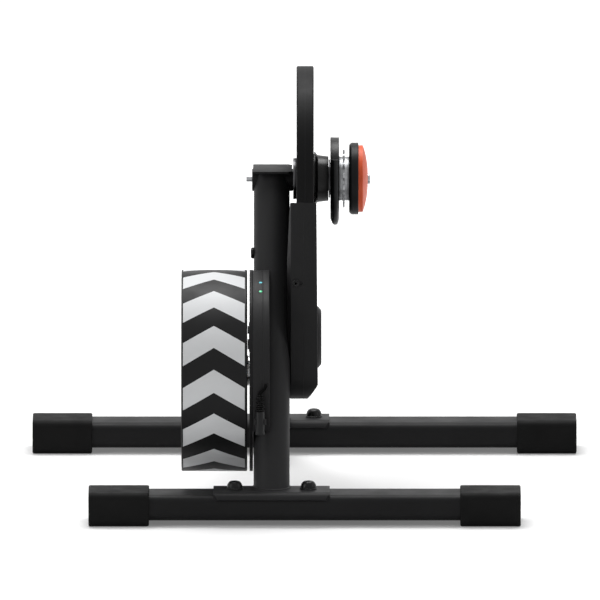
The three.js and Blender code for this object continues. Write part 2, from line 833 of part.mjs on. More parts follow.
function coverInnerShell() {
  const half = block(-overrun, coverSeamX, -overrun, overrun, 0, overrun);
  let shell = coverBody().intersect(half).subtract(coverRoom());
  shell = shell.add(screwLug()).add(mountLug());
  const bolt = mountBoltPlace();
  const onAxle = [0, axleY, axleZ];
  const flangeRoom = hubFlangeRadius + fitGap;
  const cuts = [
    legRod(-1, legRadius + fitGap),
    legRod(1, legRadius + fitGap),
    screwHole(),
    disc(mountBoltShank + fitGap, -overrun, 0, boltSides).translate([0, bolt.y, bolt.z]),
    disc(barrelRadius + fitGap, -overrun, coverSeamX).translate(onAxle),
    disc(flangeRoom, barrelRightX - fitGap, coverSeamX, shaftSides).translate(onAxle),
    disc(housingRadius + fitGap, -overrun, coverCavityLeftX + coverWall).translate([0, brakeY, brakeZ]),
  ];
  return cuts.reduce((whole, cut) => whole.subtract(cut), shell);
}

function coverOuterShell() {
  const half = block(coverSeamX, overrun, -overrun, overrun, 0, overrun);
  const hubNotch = disc(hubLipRadius + coverWall / 2, coverSeamX, overrun).translate([0, axleY, axleZ]);
  return coverBody().intersect(half).subtract(coverRoom()).subtract(hubNotch);
}

function coverScrew() {
  const seatY = axleY - guardRadius - fitGap;
  const profile = [
    [-coverScrewLength, 0], [-coverScrewLength, coverScrewShank], [0, coverScrewShank],
    [0, coverScrewRadius], [coverScrewHead / 2, coverScrewRadius],
    [coverScrewHead, coverScrewRadius / 2], [coverScrewHead, 0],
  ];
  return turned(profile, boltSides).rotate(towardNear).translate([coverScrewX, seatY, coverScrewZ]);
}

function coverMountBolt() {
  const bolt = mountBoltPlace();
  const seat = legX - legRadius - fitGap;
  const end = coverCavityLeftX + mountBoltLugLength - fitGap;
  return turned([
    [seat - mountBoltHeadHeight, 0], [seat - mountBoltHeadHeight, mountBoltHeadRadius - barrelChamfer],
    [seat - mountBoltHeadHeight + barrelChamfer, mountBoltHeadRadius], [seat, mountBoltHeadRadius],
    [seat, mountBoltShank], [end, mountBoltShank], [end, 0],
  ], boltSides).translate([0, bolt.y, bolt.z]);
}

// Belt drive. Its pieces are placed from the flywheel's axis or the wheel axle.

const beltLowX = beltCentreX - beltWidth / 2;
const beltHighX = beltCentreX + beltWidth / 2;
const beltLine = new THREE.Vector2(axleY - brakeY, axleZ - brakeZ).normalize();
const idlerY = beltLine.x * idlerAlong + beltLine.y * idlerAside;
const idlerZ = beltLine.y * idlerAlong - beltLine.x * idlerAside;

function beltWheels() {
  return [
    { y: axleY, z: axleZ, radius: largePulleyRadius - beltFlange + beltGap },
    { y: brakeY, z: brakeZ, radius: smallPulleyRadius - beltFlange + beltGap },
    { y: brakeY + idlerY, z: brakeZ + idlerZ, radius: -(idlerRadius + beltGap + beltThickness) },
  ];
}

function driveBelt() {
  const outer = loopAround(beltWheels(), beltThickness, wheelSides);
  const inner = loopAround(beltWheels(), 0, wheelSides);
  return prismX(outer, beltLowX, beltHighX, [inner]);
}

// The running surface of a pulley between two low flanges, from its right edge to its left
function flangedEdge(radius) {
  const surface = radius - beltFlange;
  return [
    [beltHighX + beltFlangeWidth, radius], [beltHighX + beltGap, surface], [beltLowX - beltGap, surface],
    [beltLowX - beltFlangeWidth, radius],
  ];
}

function largePulley() {
  const rim = largePulleyRadius - pulleyRim;
  const webX = hubShoulderX - pulleyWeb;
  const bore = hubBodyRadius + fitGap;
  const wheel = turned([
    [webX, bore], [hubShoulderX, bore], [hubShoulderX, rim], [beltHighX + beltFlangeWidth, rim],
    ...flangedEdge(largePulleyRadius), [beltLowX - beltFlangeWidth, rim], [webX, rim],
  ], guardSides);
  const hole = disc(pulleyHoleRadius, -overrun, overrun, boltSides).translate([0, 0, pulleyHoleOrbit]);
  return wheel.subtract(joined(around(hole, pulleyHoleCount)));
}

function smallPulley() {
  const bore = spindleRadius + fitGap;
  const low = beltLowX - beltFlangeWidth;
  return turned([[low, bore], [beltHighX + beltFlangeWidth, bore], ...flangedEdge(smallPulleyRadius)]);
}

function idlerPulley() {
  const bore = idlerPinRadius + runningGap;
  return ring(bore, idlerRadius, beltLowX, beltHighX, shaftSides);
}

// A flat arm on the end of the bearing housing, with the idler's post riveted in it
function tensionerArm() {
  const wheels = [
    { y: idlerY, z: idlerZ, radius: armWidth },
    { y: 0, z: 0, radius: armRingRadius },
  ];
  const right = housingRightX + armThickness;
  const plate = prismX(loopAround(wheels, 0, turnSides), housingRightX, right);
  const post = disc(idlerPinRadius, housingRightX, beltHighX + fitGap, shaftSides);
  const shoulder = disc(idlerPinRadius + coverWall, housingRightX, beltLowX - fitGap, boltSides);
  const bore = disc(armBoreRadius, -overrun, overrun);
  return plate.subtract(bore).add(post.add(shoulder).translate([0, idlerY, idlerZ]));
}

// Drive hub and its bearings, on the wheel axle

function driveHub() {
  const seat = ringRadius + fitGap;
  const ringLeft = outerHubRingX - fitGap;
  const ringRight = outerHubRingX + ringWidth + fitGap;
  return turned([
    [hubLeftX, seat], [hubLeftX, hubBodyRadius], [hubShoulderX, hubBodyRadius],
    [hubShoulderX, hubCollarRadius], [hubLipX, hubCollarRadius], [hubLipX, hubLipRadius],
    [hubWaistX, hubWaistRadius], [hubRightX, hubNoseRadius], [hubRightX, ratchetRadius + fitGap],
    [ringRight, ratchetRadius + fitGap], [ringRight, seat], [ringLeft, seat], [ringLeft, shaftPassage],
    [innerHubRingX + ringWidth, shaftPassage], [innerHubRingX + ringWidth, seat],
  ]);
}

function bearing(left, shaftRadius) {
  const bore = shaftRadius + runningGap;
  return ring(bore, ringRadius, left, left + ringWidth, shaftSides);
}

// Saw teeth inside a ring, which the pawls catch when the sprocket drives
function ratchetRing() {
  const left = hubRightX - ratchetWidth;
  const inner = [];
  for (let tooth = 0; tooth < ratchetTeeth; tooth += 1) {
    const angle = fullTurn * tooth / ratchetTeeth;
    const tipAngle = angle + ratchetRiseShare * fullTurn / ratchetTeeth;
    inner.push(new THREE.Vector2(ratchetRoot * Math.cos(angle), ratchetRoot * Math.sin(angle)));
    inner.push(new THREE.Vector2(ratchetTip * Math.cos(tipAngle), ratchetTip * Math.sin(tipAngle)));
  }
  return prismX(circle(ratchetRadius), left, hubRightX - fitGap, [inner]);
}

// Freehub

function splineOutline(grow) {
  const points = [];
  const half = fullTurn / splineCount / 4;
  for (let spline = 0; spline < splineCount; spline += 1) {
    const middle = fullTurn * spline / splineCount;
    points.push(...arc(0, 0, splineTop + grow, middle - half, middle + half, 1));
    points.push(...arc(0, 0, splineRoot + grow, middle + half, middle + 3 * half, 1));
  }
  return points;
}

// A pawl lies in the drum with its nose just proud of it
function pawl() {
  const middle = (drumLeftX + drumRightX) / 2;
  return arcBand(drumRadius - pawlDepth, drumRadius + pawlRise, 0, pawlSweep, middle - pawlWidth / 2,
    middle + pawlWidth / 2);
}

function freehubBody() {
  const seat = ringRadius + fitGap;
  const outerRight = outerFreehubRingX + ringWidth + fitGap;
  const core = joined([
    disc(drumRadius, drumLeftX, drumRightX),
    disc(freehubCollarRadius, drumRightX, freehubCollarX),
    prismX(splineOutline(0), freehubCollarX, freehubRightX),
    ...around(pawl(), pawlCount),
  ]);
  const bore = turned([
    [drumLeftX - overrun, 0], [drumLeftX - overrun, shaftPassage],
    [innerFreehubRingX - fitGap, shaftPassage],
    [innerFreehubRingX - fitGap, seat], [outerRight, seat], [outerRight, lockringNose + fitGap],
    [freehubRightX + overrun, lockringNose + fitGap], [freehubRightX + overrun, 0],
  ]);
  return core.subtract(bore);
}

function lockring() {
  const seat = outerGuardRightX;
  return turned([
    [seat - lockringDepth, lockringBore], [seat - lockringDepth, lockringNose], [seat, lockringNose],
    [seat, lockringFlange], [seat + lockringThickness, lockringFlange],
    [seat + lockringThickness, lockringBore],
  ]);
}

// The toothed outline of the sprocket: a roller seat, then a tooth tip, fourteen times
function toothOutline() {
  const pitchRadius = chainPitch / 2 / Math.sin(halfTurn / toothCount);
  const step = fullTurn / toothCount;
  const tipHalf = toothTipWidth / 2 / toothTip;
  const points = [];
  for (let tooth = 0; tooth < toothCount; tooth += 1) {
    const valley = tooth * step;
    const tip = valley + step / 2;
    const [y, z] = [pitchRadius * Math.cos(valley), pitchRadius * Math.sin(valley)];
    const inward = valley + halfTurn;
    points.push(...arc(y, z, chainRollerRadius, inward + seatSpread, inward - seatSpread, rollerSeatSteps));
    points.push(...arc(0, 0, toothTip, tip - tipHalf, tip + tipHalf, 1));
  }
  return points;
}

function sprocket() {
  const teeth = prismX(toothOutline(), sprocketX, sprocketX + sprocketThickness);
  const hub = disc(sprocketHubRadius, sprocketHubLeftX, sprocketHubRightX);
  const sleeve = disc(sleeveRadius, freehubCollarX + fitGap, outerGuardRightX);
  const bore = prismX(splineOutline(fitGap), freehubCollarX - overrun, outerGuardRightX + overrun);
  return joined([teeth, hub, sleeve]).subtract(bore);
}

function chainGuardProfile(left, right, radius, bevelLeft, bevelRight) {
  const bore = sleeveRadius + fitGap;
  return [
    [left, bore], [left, radius - bevelLeft], [left + bevelLeft, radius], [right - bevelRight, radius],
    [right, radius - bevelRight], [right, bore],
  ];
}

// The inner guard is lower over the chain, and has a higher, bevelled rim below, with a step between them
function innerChainGuard() {
  const [left, right] = [innerGuardLeftX, sprocketHubLeftX];
  const plain = chainGuardProfile(left, right, innerGuardRadius, innerGuardSquare, innerGuardSquare);
  const bevelled = chainGuardProfile(left, right, innerGuardLowerRadius, innerGuardBevel, innerGuardBevel);
  const stepY = innerGuardLowerRadius * Math.sin(innerGuardStep);
  const stepZ = innerGuardLowerRadius * Math.cos(innerGuardStep);
  const above = block(-overrun, overrun, -overrun, overrun, stepZ, overrun);
  const below = block(-overrun, overrun, -overrun, overrun, -overrun, stepZ);
  const upper = turned(plain, guardSides).intersect(above);
  const lower = turned(bevelled, guardSides).intersect(below);
  const notches = [-stepY, stepY].map((y) => block(left - overrun, (left + right) / 2,
    y - innerGuardNotch, y + innerGuardNotch, stepZ - innerGuardNotch, stepZ));
  return upper.add(lower).subtract(joined(notches));
}

function outerChainGuard() {
  return turned(chainGuardProfile(sprocketHubRightX, outerGuardRightX, outerGuardRadius, outerGuardChamfer,
    innerGuardSquare), guardSides);
}

// The domed cap over the lockring
function lockCap() {
  const dome = lockCapRightX - lockCapShoulderX;
  const curve = lockCapCurveShares.map((across) => [
    lockCapShoulderX + (1 - across * across) * dome, across * lockCapRadius,
  ]);
  const [, middle] = curve;
  return turned([
    [outerGuardRightX, lockCapRadius - lockCapWall], [outerGuardRightX, lockCapRadius], ...curve,
    [lockCapRightX, lockCapHole], [lockCapRightX - lockCapWall, lockCapHole],
    [lockCapRightX - lockCapWall, lockCapDome], [lockCapShoulderX, middle[1] - lockCapWall],
  ], guardSides);
}

// Flywheel, placed from its own axis

function flywheel() {
  const edge = flywheelRadius - flywheelEdge;
  const bore = spindleRadius + fitGap;
  return turned([
    [flywheelLeftX, edge], [flywheelLeftX + flywheelEdge, flywheelRadius],
    [flywheelRightX - flywheelEdge, flywheelRadius], [flywheelRightX, edge],
    [flywheelRightX, flywheelRimRadius], [flywheelWebRightX, flywheelRimRadius],
    [flywheelWebRightX, flywheelHubRadius], [flywheelHubRightX, flywheelHubRadius],
    [flywheelHubRightX, bore], [flywheelHubLeftX, bore], [flywheelHubLeftX, flywheelHubRadius],
    [flywheelWebLeftX, flywheelHubRadius], [flywheelWebLeftX, flywheelDishRadius],
    [flywheelLeftX, flywheelRimRadius],
  ], wheelSides);
}

function flywheelShaft() {
  const shoulderLeft = housingLeftX + fitGap + ringWidth;
  const shoulderRight = housingRightX - fitGap - ringWidth;
  return turned([
    [spindleLeftX, 0], [spindleLeftX, spindleRadius], [shoulderLeft, spindleRadius],
    [shoulderLeft, spindleShoulder], [shoulderRight, spindleShoulder], [shoulderRight, spindleRadius],
    [spindleRightX, spindleRadius], [spindleRightX, 0],
  ], shaftSides);
}

function hexNut(radius, lowX, highX) {
  return prismX(circle(radius, 6), lowX, highX, [circle(spindleRadius + fitGap)]);
}

function flywheelNut() {
  return hexNut(flywheelNutRadius, flywheelHubLeftX - flywheelNutThickness, flywheelHubLeftX);
}

function pulleyNut() {
  const seat = beltHighX + beltFlangeWidth;
  return hexNut(pulleyNutRadius + fitGap, seat, seat + pulleyNutThickness);
}

// A tube welded into the rear leg, with a bearing in each end
function bearingHousing() {
  const seat = ringRadius + fitGap;
  const tube = turned([
    [housingLeftX, seat], [housingLeftX, housingRadius],
    [housingRightX, housingRadius], [housingRightX, seat],
    [housingRightX - fitGap - ringWidth, seat], [housingRightX - fitGap - ringWidth, shaftPassage],
    [housingLeftX + fitGap + ringWidth, shaftPassage], [housingLeftX + fitGap + ringWidth, seat],
  ]);
  return tube.subtract(legRod(-1, legRadius + fitGap).translate([0, -brakeY, -brakeZ]));
}

function brakePlate() {
  const bore = housingRadius + fitGap;
  return turned([
    [brakePlateLeftX, bore], [brakePlateLeftX, flywheelRadius], [brakePlateRightX, flywheelRadius],
    [brakePlateRightX, bore],
  ], wheelSides);
}

// Six iron poles around a hub, each with a coil and with a wide shoe close to the flywheel's rim
function stator() {
  const bore = circle(housingRadius + fitGap);
  const hub = prismX(circle(statorHubRadius, 2 * poleCount), statorLeftX, statorRightX, [bore]);
  const shoeRadius = statorRadius - statorShoeDepth;
  const pole = block(statorLeftX, statorRightX, -poleWidth / 2, poleWidth / 2,
    statorHubRadius - poleWidth / 4, shoeRadius + statorShoeDepth / 2);
  const start = quarterTurn - statorShoeSweep / 2;
  const shoe = arcBand(shoeRadius, statorRadius, start, statorShoeSweep, statorLeftX, statorRightX);
  const coilReach = poleWidth / 2 + coilThickness;
  const coil = block(statorLeftX - coilThickness, statorRightX + coilThickness, -coilReach, coilReach,
    coilInnerRadius, coilOuterRadius);
  return joined([hub, ...around(joined([pole, shoe, coil]), poleCount)]);
}

// Angles here are from the near side, rising
function fromNear(angle) {
  return halfTurn - angle;
}

function speedSensor() {
  const right = brakePlateLeftX;
  const band = (inner, angle, sweep, rise) => arcBand(
    inner, sensorOuterRadius, fromNear(angle + sweep / 2), sweep, right - rise, right,
  );
  const middle = (sensorHighAngle + sensorLowAngle) / 2;
  return joined([
    band(sensorInnerRadius, middle, sensorFootSweep, sensorFoot),
    band(sensorInnerRadius + sensorRise, sensorHighAngle, sensorHighSweep, sensorRise),
    band(sensorInnerRadius, sensorLowAngle, sensorLowSweep, sensorRise),
  ]);
}

// Electronics, placed from the flywheel's axis

// The way that the box faces, square to the rear leg
function boxAngle() {
  const along = legFoot(-1).sub(new THREE.Vector3(legX, axleY, axleZ));
  return Math.atan2(-along.y, along.z);
}

// A segment of a disc. Its straight side is parallel to the rear leg, and its right edge can be rounded.
function boxSolid(inset, lowX, highX, rounding = 0) {
  const radius = flywheelRadius - inset;
  const chord = boxChord + inset;
  let rim = vectors([[highX, radius]]);
  let side = vectors([[highX, chord]]);
  if (rounding > 0) {
    rim = arc(highX - rounding, radius - rounding, rounding, quarterTurn, 0, cornerSteps);
    side = arc(highX - rounding, chord + rounding, rounding, -quarterTurn, 0, cornerSteps);
  }
  const profile = [[lowX, 0], [lowX, radius], ...rim.map(({ x, y }) => [x, y]), [highX, 0]];
  const outline = [...vectors([[lowX, chord]]), ...side, ...vectors([[highX, overrun], [lowX, overrun]])];
  const turn = THREE.MathUtils.radToDeg(boxAngle());
  return turned(profile, wheelSides).intersect(prismZ(outline, -overrun, overrun).rotate([turn, 0, 0]));
}

function lampPlace(angle, radius) {
  return [-radius * Math.cos(angle), radius * Math.sin(angle)];
}

function lampRod(angle, radius, inner, outer) {
  const [innerY, innerZ] = lampPlace(angle, inner);
  const [outerY, outerZ] = lampPlace(angle, outer);
  const start = new THREE.Vector3(lampX, innerY, innerZ);
  return rodBetween(start, new THREE.Vector3(lampX, outerY, outerZ), radius, boltSides);
}

function boardPosts() {
  const radius = (flywheelRadius + boxChord) / 2;
  return [-1, 1].map((side) => boxAngle() + side * boardPostAngle).map((angle) => disc(
    boardPostRadius, brakePlateRightX, boardX, boltSides,
  ).translate([0, radius * Math.cos(angle), radius * Math.sin(angle)]));
}

function electronicsHousing() {
  const shell = boxSolid(0, brakePlateRightX, boxSeamX).subtract(
    boxSolid(boxWall, brakePlateRightX + boxWall, boxSeamX + overrun));
  const holes = lampAngles.map((angle) => lampRod(
    angle, lampRadius + fitGap, flywheelRadius - 2 * boxWall, flywheelRadius + boxWall,
  ));
  return joined([shell, ...boardPosts()]).subtract(joined(holes));
}

function electronicsCover() {
  const body = boxSolid(0, boxSeamX, boxRightX, boxRounding);
  const room = boxSolid(boxRounding, boxSeamX - overrun, boxRightX - boxWall);
  return body.subtract(room);
}

function circuitBoard() {
  const inset = boxRounding + boxWall;
  return boxSolid(inset, boardX, boardX + boardThickness);
}

// One clear moulding behind the wall, with two windows through it
function lightGuide() {
  const outer = flywheelRadius - boxWall - 2 * fitGap;
  const [high, low] = lampAngles;
  const margin = lampRadius / outer;
  const back = arcBand(outer - lampDepth, outer, fromNear(high + margin), high - low + 2 * margin,
    lampX - lampRadius, lampX + lampRadius);
  const [inner, face] = [outer - lampDepth / 2, flywheelRadius + lampRise];
  const windows = lampAngles.map((angle) => lampRod(angle, lampRadius, inner, face));
  return joined([back, ...windows]);
}

// Power lead, placed from the flywheel's axis. Its heights are measured from the box's lower end.

const socketY = -(flywheelRadius + socketStandoff);
const boxLowZ = flywheelRadius * Math.sin(boxAngle() + Math.acos(boxChord / flywheelRadius));

function leadRoute() {
  const start = boxLowZ + leadExitRise;
  const surface = Math.sqrt(flywheelRadius * flywheelRadius - start * start);
  const exit = new THREE.Vector3(leadExitX, -surface - fitGap, start);
  const top = boxLowZ + reliefTopRise + fitGap;
  const halfWay = (start + top) / 2;
  return new THREE.CatmullRomCurve3([
    exit,
    exit.clone().add(new THREE.Vector3(0, -leadRadius, 0)),
    new THREE.Vector3(exit.x, socketY + leadRadius / 2, start - leadRadius / 2),
    new THREE.Vector3((exit.x + socketX) / 2, socketY, halfWay),
    new THREE.Vector3(socketX, socketY, top + leadRadius),
    new THREE.Vector3(socketX, socketY, top),
  ]);
}

function powerLead() {
  const section = new THREE.Shape(circle(leadRadius, leadSides));
  return solidOf(new THREE.ExtrudeGeometry(section, { extrudePath: leadRoute(), steps: leadSteps }));
}

function strainRelief() {
  const low = boxLowZ + socketTopRise;
  const high = boxLowZ + reliefTopRise;
  const step = (high - low) / (2 * reliefRibs);
  const profile = [[low, 0]];
  for (let rib = 0; rib < 2 * reliefRibs; rib += 1) {
    const share = rib / (2 * reliefRibs);
    const radius = THREE.MathUtils.lerp(socketRadius, reliefTopRadius, share) - reliefRibDepth * (rib % 2);
    profile.push([low + rib * step, radius], [low + (rib + 1) * step, radius]);
  }
  profile.push([high, 0]);
  return uprightTurned(profile, socketX, socketY, 0);
}

function powerSocket() {
  const low = boxLowZ;
  const high = boxLowZ + socketTopRise;
  return uprightTurned([
    [low, socketBore], [low, socketLipRadius], [low + socketLip, socketLipRadius],
    [low + socketLip, socketRadius], [high, socketRadius], [high, 0],
    [low + socketBoreDepth, 0], [low + socketBoreDepth, socketBore],
  ], socketX, socketY, 0, turnSides);
}

// A split ring around the socket, open on its near side, with a foot on the box
function leadClip() {
  const low = boxLowZ + clipRise;
  const high = low + clipHeight;
  const radius = socketRadius + fitGap;
  const pillar = (reach, bottom, top) => uprightTurned(
    [[bottom, 0], [bottom, reach], [top, reach], [top, 0]], socketX, socketY, 0, turnSides,
  );
  const foot = block(socketX - socketRadius, socketX + socketRadius, socketY + radius, 0, low, high);
  const box = disc(flywheelRadius + fitGap, -overrun, overrun, wheelSides);
  const hole = pillar(radius, low - overrun, high + overrun);
  const mouth = block(-overrun, overrun, -overrun, socketY - radius / 2, low - overrun, high + overrun);
  return pillar(radius + clipWall, low, high).add(foot).subtract(box).subtract(hole).subtract(mouth);
}

// Assembly

function footGroup(y, length, reach, prefix) {
  const group = new THREE.Group();
  group.position.set(0, y, 0);
  const [leftX, rightX] = boltPlaces(reach);
  group.add(
    piece(`${prefix}_left_leg_bolt`, legBolt(leftX), darkSteel),
    piece(`${prefix}_right_leg_bolt`, legBolt(rightX), darkSteel),
    piece(`${prefix}_foot_tube`, footTube(length, reach), blackPaint),
    piece(`${prefix}_left_foot_cap`, footCap(length, -1), blackRubber),
    piece(`${prefix}_right_foot_cap`, footCap(length, 1), blackRubber),
    piece(`${prefix}_saddle`, saddle(reach), blackPaint),
  );
  return group;
}

function frameGroup() {
  const group = new THREE.Group();
  group.add(
    piece('rear_leg', leg(-1), blackPaint),
    piece('front_leg', leg(1), blackPaint),
    piece('leg_top_cap', legTopCap(), blackPaint),
    piece('upper_guard_left', guardHalf(-overrun, beltCentreX, axleRadius + fitGap), satinBlack),
    piece('upper_guard_right', guardHalf(beltCentreX, overrun, hubCollarRadius + 2 * fitGap), satinBlack),
    piece('cover_inner_shell', coverInnerShell(), satinBlack),
    piece('cover_outer_shell', coverOuterShell(), satinBlack),
    piece('cover_screw', coverScrew(), darkSteel),
    piece('cover_mount_bolt', coverMountBolt(), darkSteel),
    piece('drive_belt', driveBelt(), blackRubber),
  );
  return group;
}

function axleGroup() {
  const group = new THREE.Group();
  group.position.set(0, axleY, axleZ);
  group.add(
    piece('axle_barrel', axleBarrel(), blackPaint),
    piece('axle', axle(), brightSteel),
    piece('left_axle_adapter', leftAxleAdapter(), brightSteel),
    piece('right_axle_adapter', rightAxleAdapter(), brightSteel),
    piece('drive_hub', driveHub(), darkSteel),
    piece('large_pulley', largePulley(), aluminium),
    piece('inner_hub_bearing', bearing(innerHubRingX, axleRadius), brightSteel),
    piece('outer_hub_bearing', bearing(outerHubRingX, axleRadius), brightSteel),
    piece('ratchet_ring', ratchetRing(), darkSteel),
    piece('freehub_body', freehubBody(), aluminium),
    piece('inner_freehub_bearing', bearing(innerFreehubRingX, axleRadius), brightSteel),
    piece('outer_freehub_bearing', bearing(outerFreehubRingX, axleRadius), brightSteel),
    piece('inner_chain_guard', innerChainGuard(), satinBlack),
    piece('sprocket', sprocket(), brightSteel),
    piece('outer_chain_guard', outerChainGuard(), satinBlack),
    piece('lockring', lockring(), darkSteel),
    piece('lock_cap', lockCap(), orange),
  );
  return group;
}

function brakeGroup() {
  const group = new THREE.Group();
  group.position.set(0, brakeY, brakeZ);
  const leftRingX = housingLeftX + fitGap;
  const rightRingX = housingRightX - fitGap - ringWidth;
  group.add(
    piece('flywheel', flywheel(), flywheelPaint),
    piece('flywheel_shaft', flywheelShaft(), brightSteel),
    piece('flywheel_nut', flywheelNut(), darkSteel),
    piece('small_pulley', smallPulley(), aluminium),
    piece('pulley_nut', pulleyNut(), darkSteel),
    piece('bearing_housing', bearingHousing(), blackPaint),
    piece('left_flywheel_bearing', bearing(leftRingX, spindleRadius), brightSteel),
    piece('right_flywheel_bearing', bearing(rightRingX, spindleRadius), brightSteel),
    piece('brake_plate', brakePlate(), satinBlack),
    piece('stator', stator(), copper),
    piece('speed_sensor', speedSensor(), satinBlack),
    piece('tensioner_arm', tensionerArm(), darkSteel),
    piece('electronics_housing', electronicsHousing(), satinBlack),
    piece('electronics_cover', electronicsCover(), satinBlack),
    piece('circuit_board', circuitBoard(), circuitGreen),
    piece('light_guide', lightGuide(), lampBlue),
    piece('power_lead', powerLead(), blackRubber),
    piece('strain_relief', strainRelief(), blackRubber),
    piece('power_socket', powerSocket(), satinBlack),
    piece('lead_clip', leadClip(), satinBlack),
  );
  const idler = new THREE.Group();
  idler.position.set(0, idlerY, idlerZ);
  idler.add(piece('idler_pulley', idlerPulley(), aluminium));
  group.add(idler);
  return group;
}

const trainer = new THREE.Group();
trainer.add(
  footGroup(footSpacing / 2, frontFootLength, frontBoltReach, 'front'),
  footGroup(-footSpacing / 2, rearFootLength, rearBoltReach, 'rear'),
  frameGroup(),
  axleGroup(),
  brakeGroup(),
);

export default trainer;
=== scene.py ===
import functools
import json
import math

import bmesh
import bpy
from mathutils import Matrix, Vector


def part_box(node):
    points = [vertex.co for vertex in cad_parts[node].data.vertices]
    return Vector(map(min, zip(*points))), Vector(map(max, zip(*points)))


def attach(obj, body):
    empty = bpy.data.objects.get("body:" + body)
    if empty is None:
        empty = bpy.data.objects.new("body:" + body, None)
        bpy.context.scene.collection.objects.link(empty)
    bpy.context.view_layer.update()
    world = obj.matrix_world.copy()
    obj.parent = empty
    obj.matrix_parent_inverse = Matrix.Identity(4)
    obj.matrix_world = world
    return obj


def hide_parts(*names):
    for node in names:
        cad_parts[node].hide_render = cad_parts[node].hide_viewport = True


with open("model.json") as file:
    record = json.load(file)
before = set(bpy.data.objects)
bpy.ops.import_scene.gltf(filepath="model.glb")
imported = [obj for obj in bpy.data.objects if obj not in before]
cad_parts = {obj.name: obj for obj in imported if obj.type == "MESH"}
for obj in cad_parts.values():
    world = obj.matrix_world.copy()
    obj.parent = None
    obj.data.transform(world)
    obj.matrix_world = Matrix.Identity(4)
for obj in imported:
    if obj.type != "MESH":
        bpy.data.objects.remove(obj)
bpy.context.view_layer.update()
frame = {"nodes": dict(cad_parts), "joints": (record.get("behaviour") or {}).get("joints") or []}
print("frame loaded:", len(frame["nodes"]), "nodes")

# Lengths below are in millimetres. Each finished mesh is scaled to metres.
mm = 0.001
fullTurn = 2 * math.pi
quarterTurn = math.pi / 2
# Points nearer than this become one, and a point nearer to a plane than touch lies in it
weld = 0.0005
touch = 0.001
# Faces that turn by more than this form a corner, in radians
cornerAngle = 1
sharpAngle = math.radians(30)


def nodeBox(node):
    low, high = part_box(node)
    return low / mm, high / mm


def jointAxis(name):
    place = next(joint["pos_m"] for joint in frame["joints"] if joint["name"] == name)
    return place[1] / mm, place[2] / mm


axle = jointAxis("pulley_spin")
brake = jointAxis("flywheel_spin")
idler = jointAxis("idler_spin")
flywheelRadius = (nodeBox("flywheel")[1].z - nodeBox("flywheel")[0].z) / 2


# Shared steps for objects and materials

def linked(name, data):
    obj = bpy.data.objects.new(name, data)
    bpy.context.collection.objects.link(obj)
    return obj


def meshObject(name, bm, material):
    bmesh.ops.scale(bm, vec=(mm, mm, mm), verts=bm.verts)
    mesh = bpy.data.meshes.new(name)
    bm.to_mesh(mesh)
    bm.free()
    mesh.materials.append(material)
    return linked(name, mesh)


def fillInputs(tree, node, inputs):
    # An input takes either another node's output or a plain value
    for name, value in inputs.items():
        if isinstance(value, bpy.types.NodeSocket):
            tree.links.new(value, node.inputs[name])
        else:
            node.inputs[name].default_value = value


def addNode(tree, kind, inputs, **settings):
    node = tree.nodes.new(f"ShaderNode{kind}")
    for name, value in settings.items():
        setattr(node, name, value)
    fillInputs(tree, node, inputs)
    return node.outputs


def calculated(tree, operation, *values):
    return addNode(tree, "Math", dict(enumerate(values)), operation=operation)[0]


def objectPlace(tree):
    return addNode(tree, "TexCoord", {})["Object"]


def setShader(tree, inputs):
    fillInputs(tree, tree.nodes["Principled BSDF"], inputs)


def newMaterial(name, color, roughness, metallic=0.0, specular=0.5):
    material = bpy.data.materials.new(name)
    material.use_nodes = True
    setShader(material.node_tree, {"Base Color": (*color, 1), "Roughness": roughness, "Metallic": metallic,
                                   "Specular IOR Level": specular})
    return material, material.node_tree


# Camera, floor and light

camera = {"lens": 1600, "sensor": 36, "frameWidth": 638.84, "elevation": 9.546, "aim": (-4.873, 0, 200.96),
          "farthest": 100}
stage = {"floorSize": 14000, "floorColor": 0.8, "nearGlow": 0.08, "farGlow": 0.6, "glowReach": 1900,
         "worldGlow": 0.3}
lamps = {
    "topBox": {"power": 116, "size": (2400, 1800), "place": (-100, 900, 3250), "aim": (0, 0, 150)},
    "leftBox": {"power": 12, "size": (700, 1500), "place": (-2100, -1150, 1100), "aim": (-30, 0, 200)},
    "rightBox": {"power": 5, "size": (700, 1500), "place": (2100, -900, 1100), "aim": (0, 0, 200)},
}


def lookFrom(obj, place, aim):
    obj.location = Vector(place) * mm
    direction = Vector(aim) * mm - obj.location
    obj.rotation_euler = direction.to_track_quat("-Z", "Y").to_euler()


def makeCamera():
    data = bpy.data.cameras.new("camera")
    data.lens = camera["lens"]
    data.sensor_width = camera["sensor"]
    data.clip_end = camera["farthest"]
    obj = linked("camera", data)
    distance = camera["frameWidth"] * camera["lens"] / camera["sensor"]
    tilt = math.radians(camera["elevation"])
    back = Vector((0, -math.cos(tilt), math.sin(tilt)))
    lookFrom(obj, Vector(camera["aim"]) + back * distance, camera["aim"])
    bpy.context.scene.camera = obj


def seenBackground(tree):
    # One where a camera, mirror or glass ray looks, so the background shows white there
    rays = addNode(tree, "LightPath", {})
    seen = rays["Is Camera Ray"]
    for ray in ("Is Glossy Ray", "Is Transmission Ray"):
        seen = calculated(tree, "MAXIMUM", seen, rays[ray])
    return seen


def glowByDistance(tree):
    # The lamps fade away from the object, so the floor's own glow grows there
    distance = addNode(tree, "VectorMath", {0: objectPlace(tree)}, operation="LENGTH")["Value"]
    return addNode(tree, "MapRange", {"Value": distance, "From Max": stage["glowReach"] * mm,
                                      "To Min": stage["nearGlow"], "To Max": stage["farGlow"]})["Result"]


